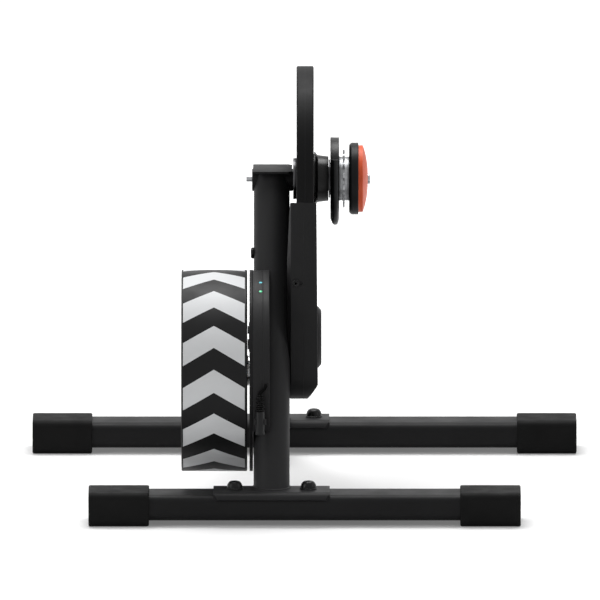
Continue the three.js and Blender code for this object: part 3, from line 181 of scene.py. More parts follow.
def makeFloor():
    bm = bmesh.new()
    bmesh.ops.create_grid(bm, x_segments=2, y_segments=2, size=stage["floorSize"] / 2)
    material, tree = newMaterial("paleFloor", [stage["floorColor"]] * 3, 1, 0, 0)
    strength = calculated(tree, "MULTIPLY", seenBackground(tree), glowByDistance(tree))
    glow = addNode(tree, "Emission", {"Strength": strength})[0]
    both = addNode(tree, "AddShader", {0: tree.nodes["Principled BSDF"].outputs[0], 1: glow})[0]
    fillInputs(tree, tree.nodes["Material Output"], {"Surface": both})
    meshObject("floor", bm, material)


def makeWorld():
    world = bpy.data.worlds.new("studio")
    bpy.context.scene.world = world
    world.use_nodes = True
    tree = world.node_tree
    strength = addNode(tree, "MapRange", {"Value": seenBackground(tree), "To Min": stage["worldGlow"], "To Max": 1})
    fillInputs(tree, tree.nodes["Background"], {"Color": (1, 1, 1, 1), "Strength": strength[0]})


def makeLamp(name, settings):
    data = bpy.data.lights.new(name, "AREA")
    data.shape = "RECTANGLE"
    data.size, data.size_y = (side * mm for side in settings["size"])
    data.energy = settings["power"]
    lookFrom(linked(name, data), settings["place"], settings["aim"])


bpy.context.scene.view_settings.view_transform = "Standard"
makeCamera()
makeFloor()
makeWorld()
for lampName, lampSettings in lamps.items():
    makeLamp(lampName, lampSettings)
print("camera, floor and light made")


# Materials

def noiseOf(tree, scale, detail):
    return addNode(tree, "TexNoise", {"Scale": scale, "Detail": detail, "Vector": objectPlace(tree)})["Fac"]


def spread(tree, value, low, high, fromLow=0.3, fromHigh=0.7):
    return addNode(tree, "MapRange", {"Value": value, "From Min": fromLow, "From Max": fromHigh, "To Min": low,
                                      "To Max": high})["Result"]


def mixColors(tree, factor, first, second):
    ends = [(*end, 1) if isinstance(end, tuple) else end for end in (first, second)]
    return addNode(tree, "Mix", {0: factor, 6: ends[0], 7: ends[1]}, data_type="RGBA")[2]


def bumpOf(tree, height, depth, strength=1.0):
    return addNode(tree, "Bump", {"Height": height, "Distance": depth * mm, "Strength": strength})["Normal"]


# How the surfaces vary, with the detail of their noise and the strength of their bumps
worn = {"cloudDetail": 4, "patchDetail": 5, "grainDetail": 2, "grainStrength": 0.6, "edgeSamples": 4,
        "edgeFrom": 0.86}
lathe = {"cloudScale": 60, "distortion": 0.6, "ringDetail": 3, "smoother": 0.08, "rougher": 0.1, "strength": 0.5}


def edgeShare(tree, radius):
    # High along edges: rubbed wear on most finishes, and a painted highlight on the lead's ribs and the cover
    # screw's crown
    rounded = addNode(tree, "Bevel", {"Radius": radius * mm}, samples=worn["edgeSamples"])["Normal"]
    straight = addNode(tree, "NewGeometry", {})["Normal"]
    likeness = addNode(tree, "VectorMath", {0: rounded, 1: straight}, operation="DOT_PRODUCT")["Value"]
    return spread(tree, likeness, 1, 0, worn["edgeFrom"], 1)


def wearAndPaintedHighlightSurface(name, settings):
    settings = {**commonSurface, **settings}
    color, roughness, vary = settings["color"], settings["roughness"], settings["roughnessSpread"]
    material, tree = newMaterial(name, color, roughness, 0.0, settings["specular"])
    cloud = spread(tree, noiseOf(tree, settings["cloudScale"], worn["cloudDetail"]), 0, 1)
    tone = mixColors(tree, cloud, color, settings["cloudColor"])
    edge = edgeShare(tree, settings["edgeRadius"])
    patches = noiseOf(tree, settings["patchScale"], worn["patchDetail"])
    grain = noiseOf(tree, settings["grainScale"], worn["grainDetail"])
    setShader(tree, {"Base Color": mixColors(tree, edge, tone, settings["edgeColor"]),
                     "Roughness": spread(tree, patches, roughness - vary, roughness + vary),
                     "Normal": bumpOf(tree, grain, settings["grainDepth"], worn["grainStrength"])})
    return material


def turnedMetal(name, settings, centre):
    # Fine rings around an axis along X, as a lathe leaves them
    color, roughness = settings["color"], settings["roughness"]
    material, tree = newMaterial(name, color, roughness, 1.0)
    fromAxis = addNode(tree, "Mapping", {"Vector": objectPlace(tree),
                                         "Location": (0, -centre[0] * mm, -centre[1] * mm)})[0]
    rings = addNode(tree, "TexWave", {"Vector": fromAxis, "Scale": settings["ringScale"],
                                      "Distortion": lathe["distortion"], "Detail": lathe["ringDetail"]},
                    wave_type="RINGS", rings_direction="X")["Fac"]
    cloud = noiseOf(tree, lathe["cloudScale"], worn["cloudDetail"])
    setShader(tree, {"Base Color": mixColors(tree, spread(tree, cloud, 0, 1), color, settings["cloudColor"]),
                     "Roughness": spread(tree, cloud, roughness - lathe["smoother"], roughness + lathe["rougher"]),
                     "Normal": bumpOf(tree, rings, settings["ringDepth"], lathe["strength"])})
    return material


commonSurface = {"edgeColor": (0.03, 0.03, 0.031), "edgeRadius": 0.9, "roughnessSpread": 0.05, "specular": 0.5,
                 "grainScale": 2600, "grainDepth": 0.07}
powderCoat = {
    "color": (0.008, 0.008, 0.0083), "cloudColor": (0.0105, 0.0105, 0.0109), "roughness": 0.47,
    "roughnessSpread": 0.06, "specular": 0.095, "cloudScale": 14, "patchScale": 30, "grainScale": 1400,
    "grainDepth": 0.05,
}
glossEnamel = {
    "color": (0.003, 0.003, 0.003), "cloudColor": (0.0045, 0.0045, 0.0045), "edgeColor": (0.03, 0.03, 0.03),
    "roughness": 0.3, "specular": 0.22, "cloudScale": 20, "patchScale": 50, "grainScale": 900, "grainDepth": 0.02,
}
mouldedPlastic = {
    "color": (0.014, 0.014, 0.0144), "cloudColor": (0.017, 0.017, 0.0175), "edgeColor": (0.024, 0.024, 0.025),
    "roughness": 0.48, "roughnessSpread": 0.06, "specular": 0.12, "cloudScale": 22, "patchScale": 46,
}
guardPlastic = {
    "color": (0.0044, 0.0044, 0.0046), "cloudColor": (0.006, 0.006, 0.0062), "edgeColor": (0.014, 0.014, 0.015),
    "roughness": 0.5, "specular": 0.08, "cloudScale": 22, "patchScale": 46,
}
chainGuardPlastic = {
    "color": (0.0062, 0.0066, 0.007), "cloudColor": (0.0085, 0.009, 0.0095), "edgeColor": (0.03, 0.031, 0.032),
    "roughness": 0.36, "specular": 0.19, "cloudScale": 40, "patchScale": 90, "grainDepth": 0.05,
}
capRubber = {
    "color": (0.0064, 0.0064, 0.0064), "cloudColor": (0.0085, 0.0085, 0.0085), "edgeColor": (0.014, 0.014, 0.014),
    "roughness": 0.62, "roughnessSpread": 0.08, "specular": 0.065, "cloudScale": 26, "patchScale": 60,
    "grainScale": 1800, "grainDepth": 0.1,
}
darkBolt = {
    "color": (0.002, 0.002, 0.0021), "cloudColor": (0.0035, 0.0035, 0.0036), "roughness": 0.27,
    "roughnessSpread": 0.06, "specular": 0.17, "cloudScale": 120, "patchScale": 260, "grainScale": 2400,
    "grainDepth": 0.03,
}
capOrange = {
    "color": (0.8, 0.118, 0.042), "cloudColor": (0.74, 0.105, 0.038), "edgeColor": (0.85, 0.22, 0.11),
    "roughness": 0.42, "specular": 0.2, "cloudScale": 60, "patchScale": 120, "grainDepth": 0.04,
}
boardGreen = {
    "color": (0.012, 0.09, 0.03), "cloudColor": (0.02, 0.13, 0.045), "edgeColor": (0.1, 0.2, 0.1),
    "roughness": 0.45, "roughnessSpread": 0.08, "cloudScale": 160, "patchScale": 240, "grainScale": 900,
    "grainDepth": 0.08,
}
brightSteel = {"color": (0.36, 0.365, 0.375), "cloudColor": (0.28, 0.285, 0.295), "roughness": 0.3,
               "ringScale": 700, "ringDepth": 0.02}
shadedSteel = {**brightSteel, "color": (0.09, 0.09, 0.093), "cloudColor": (0.06, 0.06, 0.063), "roughness": 0.34}
mirrorSteel = {**brightSteel, "color": (0.95, 0.95, 0.96), "cloudColor": (0.9, 0.9, 0.91), "roughness": 0.09,
               "ringDepth": 0.004}
palerAluminium = {"color": (0.4, 0.405, 0.415), "cloudColor": (0.31, 0.315, 0.325), "roughness": 0.36,
                  "ringScale": 500, "ringDepth": 0.03}

paint = wearAndPaintedHighlightSurface("satinBlackPaint", powderCoat)
# A lighter copy of the frame's powder coat on the legs: painted light standing in for the light that falls on them
legPaintWithPaintedLight = wearAndPaintedHighlightSurface("satinLegPaintWithPaintedLight", {**powderCoat, "color": (0.0195, 0.0195, 0.0202),
                                         "cloudColor": (0.023, 0.023, 0.0237)})
# A lighter copy of the frame's powder coat on the saddles: a painted highlight along their bent lips
saddlePaintWithPaintedHighlight = wearAndPaintedHighlightSurface("satinSaddlePaint", {**powderCoat, "color": (0.013, 0.013, 0.0134),
                                               "cloudColor": (0.016, 0.016, 0.0165)})
enamel = wearAndPaintedHighlightSurface("glossBlackEnamel", glossEnamel)
handlePlastic = wearAndPaintedHighlightSurface("deepBlackGuardPlastic", guardPlastic)
plastic = wearAndPaintedHighlightSurface("grainedBlackPlastic", mouldedPlastic)
ringPlastic = wearAndPaintedHighlightSurface("smoothBlackRingPlastic", chainGuardPlastic)
outerRingPlastic = wearAndPaintedHighlightSurface("smoothBlackOuterRingPlastic", {**chainGuardPlastic, "specular": 0.1,
                                                               "color": (0.008, 0.0084, 0.0088)})
rubber = wearAndPaintedHighlightSurface("footCapRubber", capRubber)
# Black rubber for the lead and strain relief; its pale edge colour is a painted highlight along the ribs
leadSheathPaintedHighlights = wearAndPaintedHighlightSurface("leadSheathRubberPaintedHighlights", {**capRubber, "color": (0.0012, 0.0012, 0.0012), "specular": 0.03,
                                              "cloudColor": (0.002, 0.002, 0.002), "edgeRadius": 0.35,
                                              "edgeColor": (0.15, 0.15, 0.15), "roughness": 0.45})
boltSteel = wearAndPaintedHighlightSurface("blackenedBoltSteel", darkBolt)
# The bolt steel with a pale edge colour that paints a highlight ring on the cover screw's crown
screwSteelPaintedHighlight = wearAndPaintedHighlightSurface("blackenedScrewSteelPaintedHighlight", {**darkBolt, "edgeColor": (0.1, 0.1, 0.102), "edgeRadius": 0.6})
orangePlastic = wearAndPaintedHighlightSurface("orangeCapPlastic", capOrange)
boardResin = wearAndPaintedHighlightSurface("circuitBoardResin", boardGreen)
axleSteel = turnedMetal("turnedAxleSteel", brightSteel, axle)
darkAxleSteel = turnedMetal("blackenedAxleSteel", shadedSteel, axle)
polishedSteel = turnedMetal("polishedSpacerSteel", mirrorSteel, brake)
hubAluminium = turnedMetal("turnedHubAluminium", palerAluminium, axle)
spindleSteel = turnedMetal("turnedSpindleSteel", brightSteel, brake)
pulleyAluminium = turnedMetal("turnedPulleyAluminium", palerAluminium, brake)
idlerAluminium = turnedMetal("turnedIdlerAluminium", palerAluminium, idler)


chevrons = {
    "count": 14, "apexX": -96.0, "halfWidth": 32.7, "startAngle": 79.9, "lag": 10.5, "lightShare": 0.515,
    "light": (0.70, 0.71, 0.72), "dark": (0.0068, 0.0068, 0.0072), "clouds": (("light", 0.95), ("dark", 1.3)),
    "rimDepth": 0.5, "specular": 0.14, "roughness": (0.36, 0.5), "cloudScale": 18, "patchScale": 40,
    "grainScale": 1500, "grainDepth": 0.04,
}


def chevronPaint():
    # Light and dark bands follow the angle around the flywheel, and lag with the way from the middle
    material, tree = newMaterial("chevronFlywheelPaint", chevrons["dark"], chevrons["roughness"][0], 0.0,
                                 chevrons["specular"])
    calc = functools.partial(calculated, tree)
    place = addNode(tree, "SeparateXYZ", {0: objectPlace(tree)})
    towardCamera = calc("SUBTRACT", brake[0] * mm, place["Y"])
    up = calc("SUBTRACT", place["Z"], brake[1] * mm)
    aside = calc("ABSOLUTE", calc("SUBTRACT", place["X"], chevrons["apexX"] * mm))
    halfWidth = chevrons["halfWidth"] * mm
    lag = calc("MULTIPLY", aside, math.radians(chevrons["lag"]) / halfWidth)
    angle = calc("SUBTRACT", calc("ARCTAN2", towardCamera, up), lag)
    # Two whole turns more keep the angle above nought
    started = calc("SUBTRACT", angle, math.radians(chevrons["startAngle"]) - 2 * fullTurn)
    phase = calc("FRACT", calc("MULTIPLY", started, chevrons["count"] / fullTurn))
    radius = calc("SQRT", calc("ADD", calc("MULTIPLY", towardCamera, towardCamera), calc("MULTIPLY", up, up)))
    band = calc("LESS_THAN", phase, chevrons["lightShare"])
    inside = calc("LESS_THAN", aside, halfWidth)
    onRim = calc("GREATER_THAN", radius, (flywheelRadius - chevrons["rimDepth"]) * mm)
    share = calc("MULTIPLY", calc("MULTIPLY", band, inside), onRim)
    cloud = spread(tree, noiseOf(tree, chevrons["cloudScale"], worn["cloudDetail"]), 0, 1)
    light, dark = (mixColors(tree, cloud, chevrons[tone], tuple(change * channel for channel in chevrons[tone]))
                   for tone, change in chevrons["clouds"])
    patches = noiseOf(tree, chevrons["patchScale"], worn["patchDetail"])
    grain = noiseOf(tree, chevrons["grainScale"], worn["grainDetail"])
    setShader(tree, {"Base Color": mixColors(tree, share, dark, light),
                     "Roughness": spread(tree, patches, *chevrons["roughness"]),
                     "Normal": bumpOf(tree, grain, chevrons["grainDepth"], worn["grainStrength"])})
    return material


windings = {"color": (0.36, 0.13, 0.05), "low": (0.2, 0.07, 0.03), "high": (0.42, 0.16, 0.07), "roughness": 0.42,
            "metallic": 0.9, "scale": 500, "depth": 0.25}
lampFace = {"roughness": (0.2, 0.32), "noiseScale": 300, "noiseDetail": 3, "strength": 0.5}
beltRibs = {"color": (0.012, 0.012, 0.012), "roughness": (0.65, 0.85), "specular": 0.3, "noiseScale": 90,
            "scale": 140, "depth": 0.4}


def woundCopper():
    material, tree = newMaterial("poleIronAndCopper", windings["color"], windings["roughness"], windings["metallic"])
    wires = addNode(tree, "TexWave", {"Scale": windings["scale"], "Vector": objectPlace(tree)})["Fac"]
    setShader(tree, {"Base Color": mixColors(tree, wires, windings["low"], windings["high"]),
                     "Normal": bumpOf(tree, wires, windings["depth"])})
    return material


def statusLamp(name, color):
    material, tree = newMaterial(name, color, lampFace["roughness"][0])
    noise = noiseOf(tree, lampFace["noiseScale"], lampFace["noiseDetail"])
    setShader(tree, {"Emission Color": (*color, 1), "Emission Strength": lampFace["strength"],
                     "Roughness": spread(tree, noise, *lampFace["roughness"])})
    return material


def beltRubber():
    # Ribs run along the belt, so they depend only on the way across it
    material, tree = newMaterial("ribbedBeltRubber", beltRibs["color"], beltRibs["roughness"][0], 0.0,
                                 beltRibs["specular"])
    ribs = addNode(tree, "TexWave", {"Scale": beltRibs["scale"], "Vector": objectPlace(tree)},
                   bands_direction="X")["Fac"]
    noise = noiseOf(tree, beltRibs["noiseScale"], worn["cloudDetail"])
    setShader(tree, {"Roughness": spread(tree, noise, *beltRibs["roughness"]),
                     "Normal": bumpOf(tree, ribs, beltRibs["depth"])})
    return material


flywheelPaint = chevronPaint()
copper = woundCopper()
lampMaterials = {"teal": statusLamp("tealStatusLamp", (0.05, 0.42, 0.5)),
                 "green": statusLamp("greenStatusLamp", (0.04, 0.5, 0.22))}
beltMaterial = beltRubber()
print("materials made")


# Shared modelling steps


def finishPiece(name, bm, material, body="root", node=None):
    # A piece is named after the node it replaces and the way it was made, unless another node is given
    bmesh.ops.remove_doubles(bm, verts=bm.verts, dist=weld)
    bmesh.ops.recalc_face_normals(bm, faces=bm.faces)
    piece = meshObject(name, bm, material)
    piece.data.shade_smooth()
    piece.data.set_sharp_from_angle(angle=sharpAngle)
    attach(piece, body)
    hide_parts(node or name.rpartition("_")[0])


def pick(settings, *names):
    return [settings[name] for name in names]


def ringProfile(lowX, highX, bore, radius):
    return [(lowX, bore), (lowX, radius), (highX, radius), (highX, bore)]


def arcPoints(centreA, centreB, radius, start, end, steps):
    return [(centreA + radius * math.cos(start + (end - start) * step / steps),
             centreB + radius * math.sin(start + (end - start) * step / steps)) for step in range(steps + 1)]


def roundedOutline(low, high, radius, steps):
    # Around the Y and Z sides of a box, anticlockwise
    corners = ((high.y - radius, high.z - radius), (low.y + radius, high.z - radius),
               (low.y + radius, low.z + radius), (high.y - radius, low.z + radius))
    points = []
    for quarter, (y, z) in enumerate(corners):
        points += arcPoints(y, z, radius, quarter * quarterTurn, (quarter + 1) * quarterTurn, steps)
    return points


def wheelLoop(wheels, steps, fewest=6):
    # The tight loop around wheels given as (y, z, radius), anticlockwise
    points = []
    leaving = []
    for index, (y, z, radius) in enumerate(wheels):
        nextY, nextZ, nextRadius = wheels[(index + 1) % len(wheels)]
        way = math.atan2(nextZ - z, nextY - y)
        leaving.append(way + math.asin((radius - nextRadius) / math.hypot(nextY - y, nextZ - z)))
    for index, (y, z, radius) in enumerate(wheels):
        start = leaving[index - 1] - quarterTurn
        sweep = (leaving[index] - leaving[index - 1]) % fullTurn
        points += arcPoints(y, z, radius, start, start + sweep, max(fewest, round(steps * sweep / fullTurn)))
    return points


def only(kind, geometry):
    return [item for item in geometry if isinstance(item, kind)]


def boundary(bm):
    return [edge for edge in bm.edges if edge.is_boundary]


def addPart(bm, part):
    mesh = bpy.data.meshes.new("part")
    part.to_mesh(mesh)
    part.free()
    bm.from_mesh(mesh)
    bpy.data.meshes.remove(mesh)


def addChain(bm, points, closed=False):
    verts = [bm.verts.new(point) for point in points]
    for first, second in zip(verts, verts[1:] + verts[:1] if closed else verts[1:]):
        bm.edges.new((first, second))
    return verts


def turnFully(bm, steps, axisWay=(0, 0, 1)):
    bmesh.ops.spin(bm, geom=bm.verts[:] + bm.edges[:], cent=(0, 0, 0), axis=axisWay, dvec=(0, 0, 0),
                   angle=fullTurn, steps=steps, use_merge=True, use_duplicate=False)


def bevel(bm, geometry, rounding, segments, affect="EDGES", clamped=True):
    bmesh.ops.bevel(bm, geom=geometry, offset=rounding, offset_type="OFFSET", affect=affect, segments=segments,
                    profile=0.5, material=-1, clamp_overlap=clamped)


def roundSharpEdges(bm, rounding, segments=3, angle=40, kept=()):
    # An edge stays square where both its ends are among the kept vertices
    sharp = [edge for edge in bm.edges if len(edge.link_faces) == 2
             and edge.calc_face_angle(0) > math.radians(angle)
             and not all(vert in kept for vert in edge.verts)]
    bevel(bm, sharp, rounding, segments)


def addTurned(bm, profile, centre, steps=96, rounding=0.0):
    # profile holds (x, radius) pairs. It closes on itself unless it starts and ends on the axis.
    part = bmesh.new()
    onAxis = profile[0][1] == 0 and profile[-1][1] == 0
    verts = addChain(part, [(x, 0, radius) for x, radius in profile], not onAxis)
    if rounding > 0:
        bevel(part, [vert for vert in verts if vert.co.z > 0], rounding, 3, "VERTICES")
    turnFully(part, steps, (1, 0, 0))
    bmesh.ops.remove_doubles(part, verts=part.verts, dist=weld)
    bmesh.ops.translate(part, vec=(0, *centre), verts=part.verts)
    bmesh.ops.recalc_face_normals(part, faces=part.faces)
    addPart(bm, part)


def turnedPiece(name, profile, centre, material, steps=96, rounding=0.0, body="root", node=None):
    bm = bmesh.new()
    addTurned(bm, profile, centre, steps, rounding)
    finishPiece(name, bm, material, body, node)


def cylinder(centre, radius, lowX, highX):
    part = bmesh.new()
    addTurned(part, ringProfile(lowX, highX, 0, radius), centre)
    return part


def slab(outline, low, high, rounding=0.0, segments=3, upright=False):
    # outline holds (y, z) pairs, or (x, y) pairs for an upright slab
    bm = bmesh.new()
    face = bm.faces.new([bm.verts.new((a, b, low) if upright else (low, a, b)) for a, b in outline])
    grown = bmesh.ops.extrude_face_region(bm, geom=[face])["geom"]
    step = (0, 0, high - low) if upright else (high - low, 0, 0)
    bmesh.ops.translate(bm, vec=step, verts=only(bmesh.types.BMVert, grown))
    bmesh.ops.recalc_face_normals(bm, faces=bm.faces)
    if rounding > 0:
        roundSharpEdges(bm, rounding, segments)
    return bm


def stoodAlong(place, way):
    # Brings what stands on the origin to a place, and leans it along a way
    return Matrix.Translation(place) @ Vector((0, 0, 1)).rotation_difference(way).to_matrix().to_4x4()


def rod(radius, length, sides, matrix):
    bm = bmesh.new()
    bmesh.ops.create_cone(bm, cap_ends=True, segments=sides, radius1=radius, radius2=radius, depth=length,
                          matrix=matrix)
    return bm


def sliceOff(bm, point, normal):
    # Takes away what is on the normal's side of a plane, and closes the cut
    cut = bmesh.ops.bisect_plane(bm, geom=bm.verts[:] + bm.edges[:] + bm.faces[:], plane_co=point, plane_no=normal,
                                 clear_outer=True, dist=weld)
    bmesh.ops.holes_fill(bm, edges=only(bmesh.types.BMEdge, cut["geom_cut"]), sides=0)


def carved(bm, cutters):
    # Takes other solids away from this one
    made = []
    for solid in (bm, *cutters):
        made.append(linked("solid", bpy.data.meshes.new("solid")))
        solid.to_mesh(made[-1].data)
        solid.free()
    target, *tools = made
    for tool in tools:
        modifier = target.modifiers.new("cut", "BOOLEAN")
        modifier.operation = "DIFFERENCE"
        modifier.solver = "EXACT"
        modifier.object = tool
    shape = bpy.data.meshes.new_from_object(target.evaluated_get(bpy.context.evaluated_depsgraph_get()))
    result = bmesh.new()
    result.from_mesh(shape)
    bpy.data.meshes.remove(shape)
    for obj in made:
        bpy.data.objects.remove(obj)
    return result


# Feet

footTube = {"corner": 9, "steps": 10, "rounding": 0, "segments": 1}
footCap = {"corner": 7, "steps": 12, "rounding": 1.8, "segments": 4}
saddles = {"thickness": 3, "gap": 0.3, "wrap": math.radians(65), "chamfer": 5, "edge": 0.5, "steps": 10}
bolts = {"flange": 9.1, "flangeHeight": 1.1, "head": 8.4, "neck": 0.4, "crown": 3.5, "crownSteps": 8, "sunk": 1,
         "socket": 3.1, "socketDepth": 3.5, "sides": 48, "corners": 6}


def footBar(name, sizes, material):
    low, high = nodeBox(name.rpartition("_")[0])
    corner, steps, rounding, segments = pick(sizes, "corner", "steps", "rounding", "segments")
    bm = slab(roundedOutline(low, high, corner, steps), low.x, high.x, rounding, segments)
    finishPiece(name, bm, material)


def saddlePlate(end):
    node = f"{end}_saddle"
    low, high = nodeBox(node)
    tubeLow, tubeHigh = nodeBox(f"{end}_foot_tube")
    middle = (tubeLow.y + tubeHigh.y) / 2
    bend, wrap = footTube["corner"], saddles["wrap"]
    reach = (tubeHigh.y - tubeLow.y) / 2 - bend
    outer, inner = bend + saddles["thickness"], bend + saddles["gap"]
    outline = []
    for side, radius, start, stop in ((1, outer, -wrap, 0), (-1, outer, 0, wrap), (-1, inner, wrap, 0),
                                      (1, inner, 0, -wrap)):
        outline += arcPoints(middle + side * reach, tubeHigh.z - bend, radius, quarterTurn + start,
                             quarterTurn + stop, saddles["steps"])
    bm = slab(outline, low.x, high.x)
    for side in (-1, 1):
        edgeY = middle + side * (reach + outer * math.sin(wrap))
        for endX, way in ((low.x, -1), (high.x, 1)):
            sliceOff(bm, (endX - way * saddles["chamfer"], edgeY, 0), (way, side, 0))
    roundSharpEdges(bm, saddles["edge"], 2)
    finishPiece(f"{node}_pressed", bm, saddlePaintWithPaintedHighlight)


def boltPiece(name, profile, socket, depth, place, material):
    # profile climbs from the axis below to the rim of a crown, in which a six-sided socket is sunk
    bm = bmesh.new()
    addChain(bm, [(0, radius, height) for height, radius in profile])
    turnFully(bm, bolts["sides"])
    bmesh.ops.remove_doubles(bm, verts=bm.verts, dist=weld)
    rim = boundary(bm)
    corners = bmesh.ops.create_circle(bm, segments=bolts["corners"], radius=socket, cap_ends=False,
                                      matrix=Matrix.Translation((0, 0, profile[-1][0])))["verts"]
    hexagon = list({edge for vert in corners for edge in vert.link_edges})
    bmesh.ops.bridge_loops(bm, edges=rim + hexagon)
    walls = bmesh.ops.extrude_edge_only(bm, edges=hexagon)["geom"]
    bmesh.ops.translate(bm, vec=(0, 0, -depth), verts=only(bmesh.types.BMVert, walls))
    bmesh.ops.holes_fill(bm, edges=boundary(bm), sides=0)
    bmesh.ops.transform(bm, matrix=place, verts=bm.verts)
    finishPiece(name, bm, material)


def legBolt(end, side):
    node = f"{end}_{side}_leg_bolt"
    low, high = nodeBox(node)
    seat = nodeBox(f"{end}_saddle")[1].z
    shoulder = seat + bolts["flangeHeight"]
    sunk, flange, head, neck, crown, steps = pick(bolts, "sunk", "flange", "head", "neck", "crown", "crownSteps")
    profile = [(seat - sunk, 0), (seat - sunk, flange - 2 * sunk), (seat, flange), (shoulder - neck, flange),
               (shoulder, head + neck), (shoulder + 0.75 * neck, head)]
    for step in range(1, steps + 1):
        angle = quarterTurn * step / steps
        profile.append((shoulder + (high.z - shoulder) * math.sin(angle), crown + (head - crown) * math.cos(angle)))
    place = Matrix.Translation(((low.x + high.x) / 2, (low.y + high.y) / 2, 0))
    boltPiece(f"{node}_domed", profile, bolts["socket"], bolts["socketDepth"], place, boltSteel)


for footEnd in ("front", "rear"):
    footBar(f"{footEnd}_foot_tube_painted", footTube, paint)
    saddlePlate(footEnd)
    for footSide in ("left", "right"):
        footBar(f"{footEnd}_{footSide}_foot_cap_moulded", footCap, rubber)
        legBolt(footEnd, footSide)
print("feet made")


# Legs, top plate and axle

legs = {"radius": 19.05, "inset": 11, "mitreGap": 0.3, "sides": 96, "bead": 1.5, "beadSides": 72,
        "beadSteps": 8}
plate = {"cut": 4, "rounding": 0.5}
axleParts = {"barrelBore": 7.8, "barrelRounding": 1.2, "bore": 3.6, "shaft": 7.5, "shaftRounding": 0.4,
             "adapterBore": 2.4, "stub": 3.3, "stubRounding": 0.25, "head": 5.6, "barrelSteps": 96,
             "shaftSteps": 72, "adapterSteps": 48}


def legLine(end):
    sign = 1 if end == "front" else -1
    tubeLow, tubeHigh = nodeBox(f"{end}_foot_tube")
    saddleLow, saddleHigh = nodeBox(f"{end}_saddle")
    x = (saddleLow.x + saddleHigh.x) / 2
    foot = Vector((x, (tubeLow.y + tubeHigh.y) / 2 - sign * legs["inset"], saddleHigh.z))
    return foot, Vector((x, *axle)), sign


def legRod(end, radius):
    foot, top, _ = legLine(end)
    return rod(radius, 2 * (top - foot).length, legs["sides"],
               stoodAlong((foot + top) / 2, (top - foot).normalized()))


def addWeldBead(bm, foot, along):
    # A small round bead where the slanted tube meets its saddle
    part = bmesh.new()
    ring = arcPoints(legs["radius"], 0, legs["bead"], 0, fullTurn, legs["beadSteps"])[:-1]
    addChain(part, [(across, 0, up) for across, up in ring], True)
    turnFully(part, legs["beadSides"])
    bmesh.ops.scale(part, vec=(1, 1 / along.z, 1), verts=part.verts)
    bmesh.ops.translate(part, vec=foot, verts=part.verts)
    bmesh.ops.recalc_face_normals(part, faces=part.faces)
    addPart(bm, part)


def legTube(end):
    foot, top, sign = legLine(end)
    bm = legRod(end, legs["radius"])
    sliceOff(bm, (0, 0, foot.z), (0, 0, -1))
    sliceOff(bm, (0, 0, nodeBox("leg_top_cap")[0].z), (0, 0, 1))
    sliceOff(bm, (0, axle[0] + sign * legs["mitreGap"] / 2, 0), (0, -sign, 0))
    addWeldBead(bm, foot, (top - foot).normalized())
    finishPiece(f"{end}_leg_painted", bm, legPaintWithPaintedLight)


def topPlate():
    low, high = nodeBox("leg_top_cap")
    cut = plate["cut"]
    outline = [(low.x, low.y), (high.x - cut, low.y), (high.x, low.y + cut), (high.x, high.y - cut),
               (high.x - cut, high.y), (low.x, high.y)]
    bm = slab(outline, low.z, high.z, plate["rounding"], upright=True)
    finishPiece("leg_top_plate", bm, paint, node="leg_top_cap")


def axlePieces():
    low, high = nodeBox("axle_barrel")
    bm = bmesh.new()
    addTurned(bm, ringProfile(low.x, high.x, axleParts["barrelBore"], (high.y - low.y) / 2), axle,
              axleParts["barrelSteps"], axleParts["barrelRounding"])
    sliceOff(bm, (0, 0, high.z), (0, 0, 1))
    finishPiece("axle_barrel_painted", bm, paint)
    shaftLow, shaftHigh = nodeBox("axle")
    flange = (shaftHigh.y - shaftLow.y) / 2
    guardX = nodeBox("upper_guard_left")[0].x
    shaft, bore, stub, adapterBore, head = pick(axleParts, "shaft", "bore", "stub", "adapterBore", "head")
    turnedPiece("axle_turned",
                [(shaftLow.x, bore), (shaftLow.x, shaft), (high.x, shaft), (high.x, flange), (guardX, flange),
                 (guardX, shaft), (shaftHigh.x, shaft), (shaftHigh.x, bore)],
                axle, darkAxleSteel, axleParts["shaftSteps"], axleParts["shaftRounding"])
    low, high = nodeBox("left_axle_adapter")
    turnedPiece("left_adapter_turned", ringProfile(low.x, high.x, adapterBore, stub), axle, axleSteel,
                axleParts["adapterSteps"], axleParts["stubRounding"], node="left_axle_adapter")
    low, high = nodeBox("right_axle_adapter")
    turnedPiece("right_adapter_turned", [(low.x, adapterBore), (low.x, stub), (shaftHigh.x, stub),
                                         (shaftHigh.x, head), (high.x, head), (high.x, adapterBore)],
                axle, axleSteel, axleParts["adapterSteps"], axleParts["shaftRounding"], node="right_axle_adapter")


legTube("front")
legTube("rear")
topPlate()
axlePieces()
print("legs and axle made")


# Upper guard

guard = {"radius": 119.7, "rounding": 1.8, "gripInner": 77, "gripOuter": 104, "gripSpread": math.radians(50),
         "gripSteps": 48, "endSteps": 16, "steps": 96, "wall": 2.2, "room": 73.5, "leftBore": 7.8, "rightBore": 27,
         "rimAngle": 0.7}
guardLeftX = nodeBox("upper_guard_left")[0].x
guardRightX = nodeBox("upper_guard_right")[1].x
guardNearY = axle[0] - guard["radius"]
# Between the guard's walls, where the large pulley turns
slotLeft, slotRight = guardLeftX + guard["wall"], guardRightX - guard["wall"]


def gripLoop():
    start, stop = quarterTurn - guard["gripSpread"], quarterTurn + guard["gripSpread"]
    inner, outer = guard["gripInner"], guard["gripOuter"]
    middle, end = (inner + outer) / 2, (outer - inner) / 2
    startPlace, stopPlace = ((axle[0] + middle * math.cos(angle), axle[1] + middle * math.sin(angle))
                             for angle in (start, stop))
    loop = arcPoints(*axle, outer, start, stop, guard["gripSteps"])[:-1]
    loop += arcPoints(*stopPlace, end, stop, stop + math.pi, guard["endSteps"])[:-1]
    loop += arcPoints(*axle, inner, stop, start, guard["gripSteps"])[:-1]
    return loop + arcPoints(*startPlace, end, start + math.pi, start + fullTurn, guard["endSteps"])[:-1]


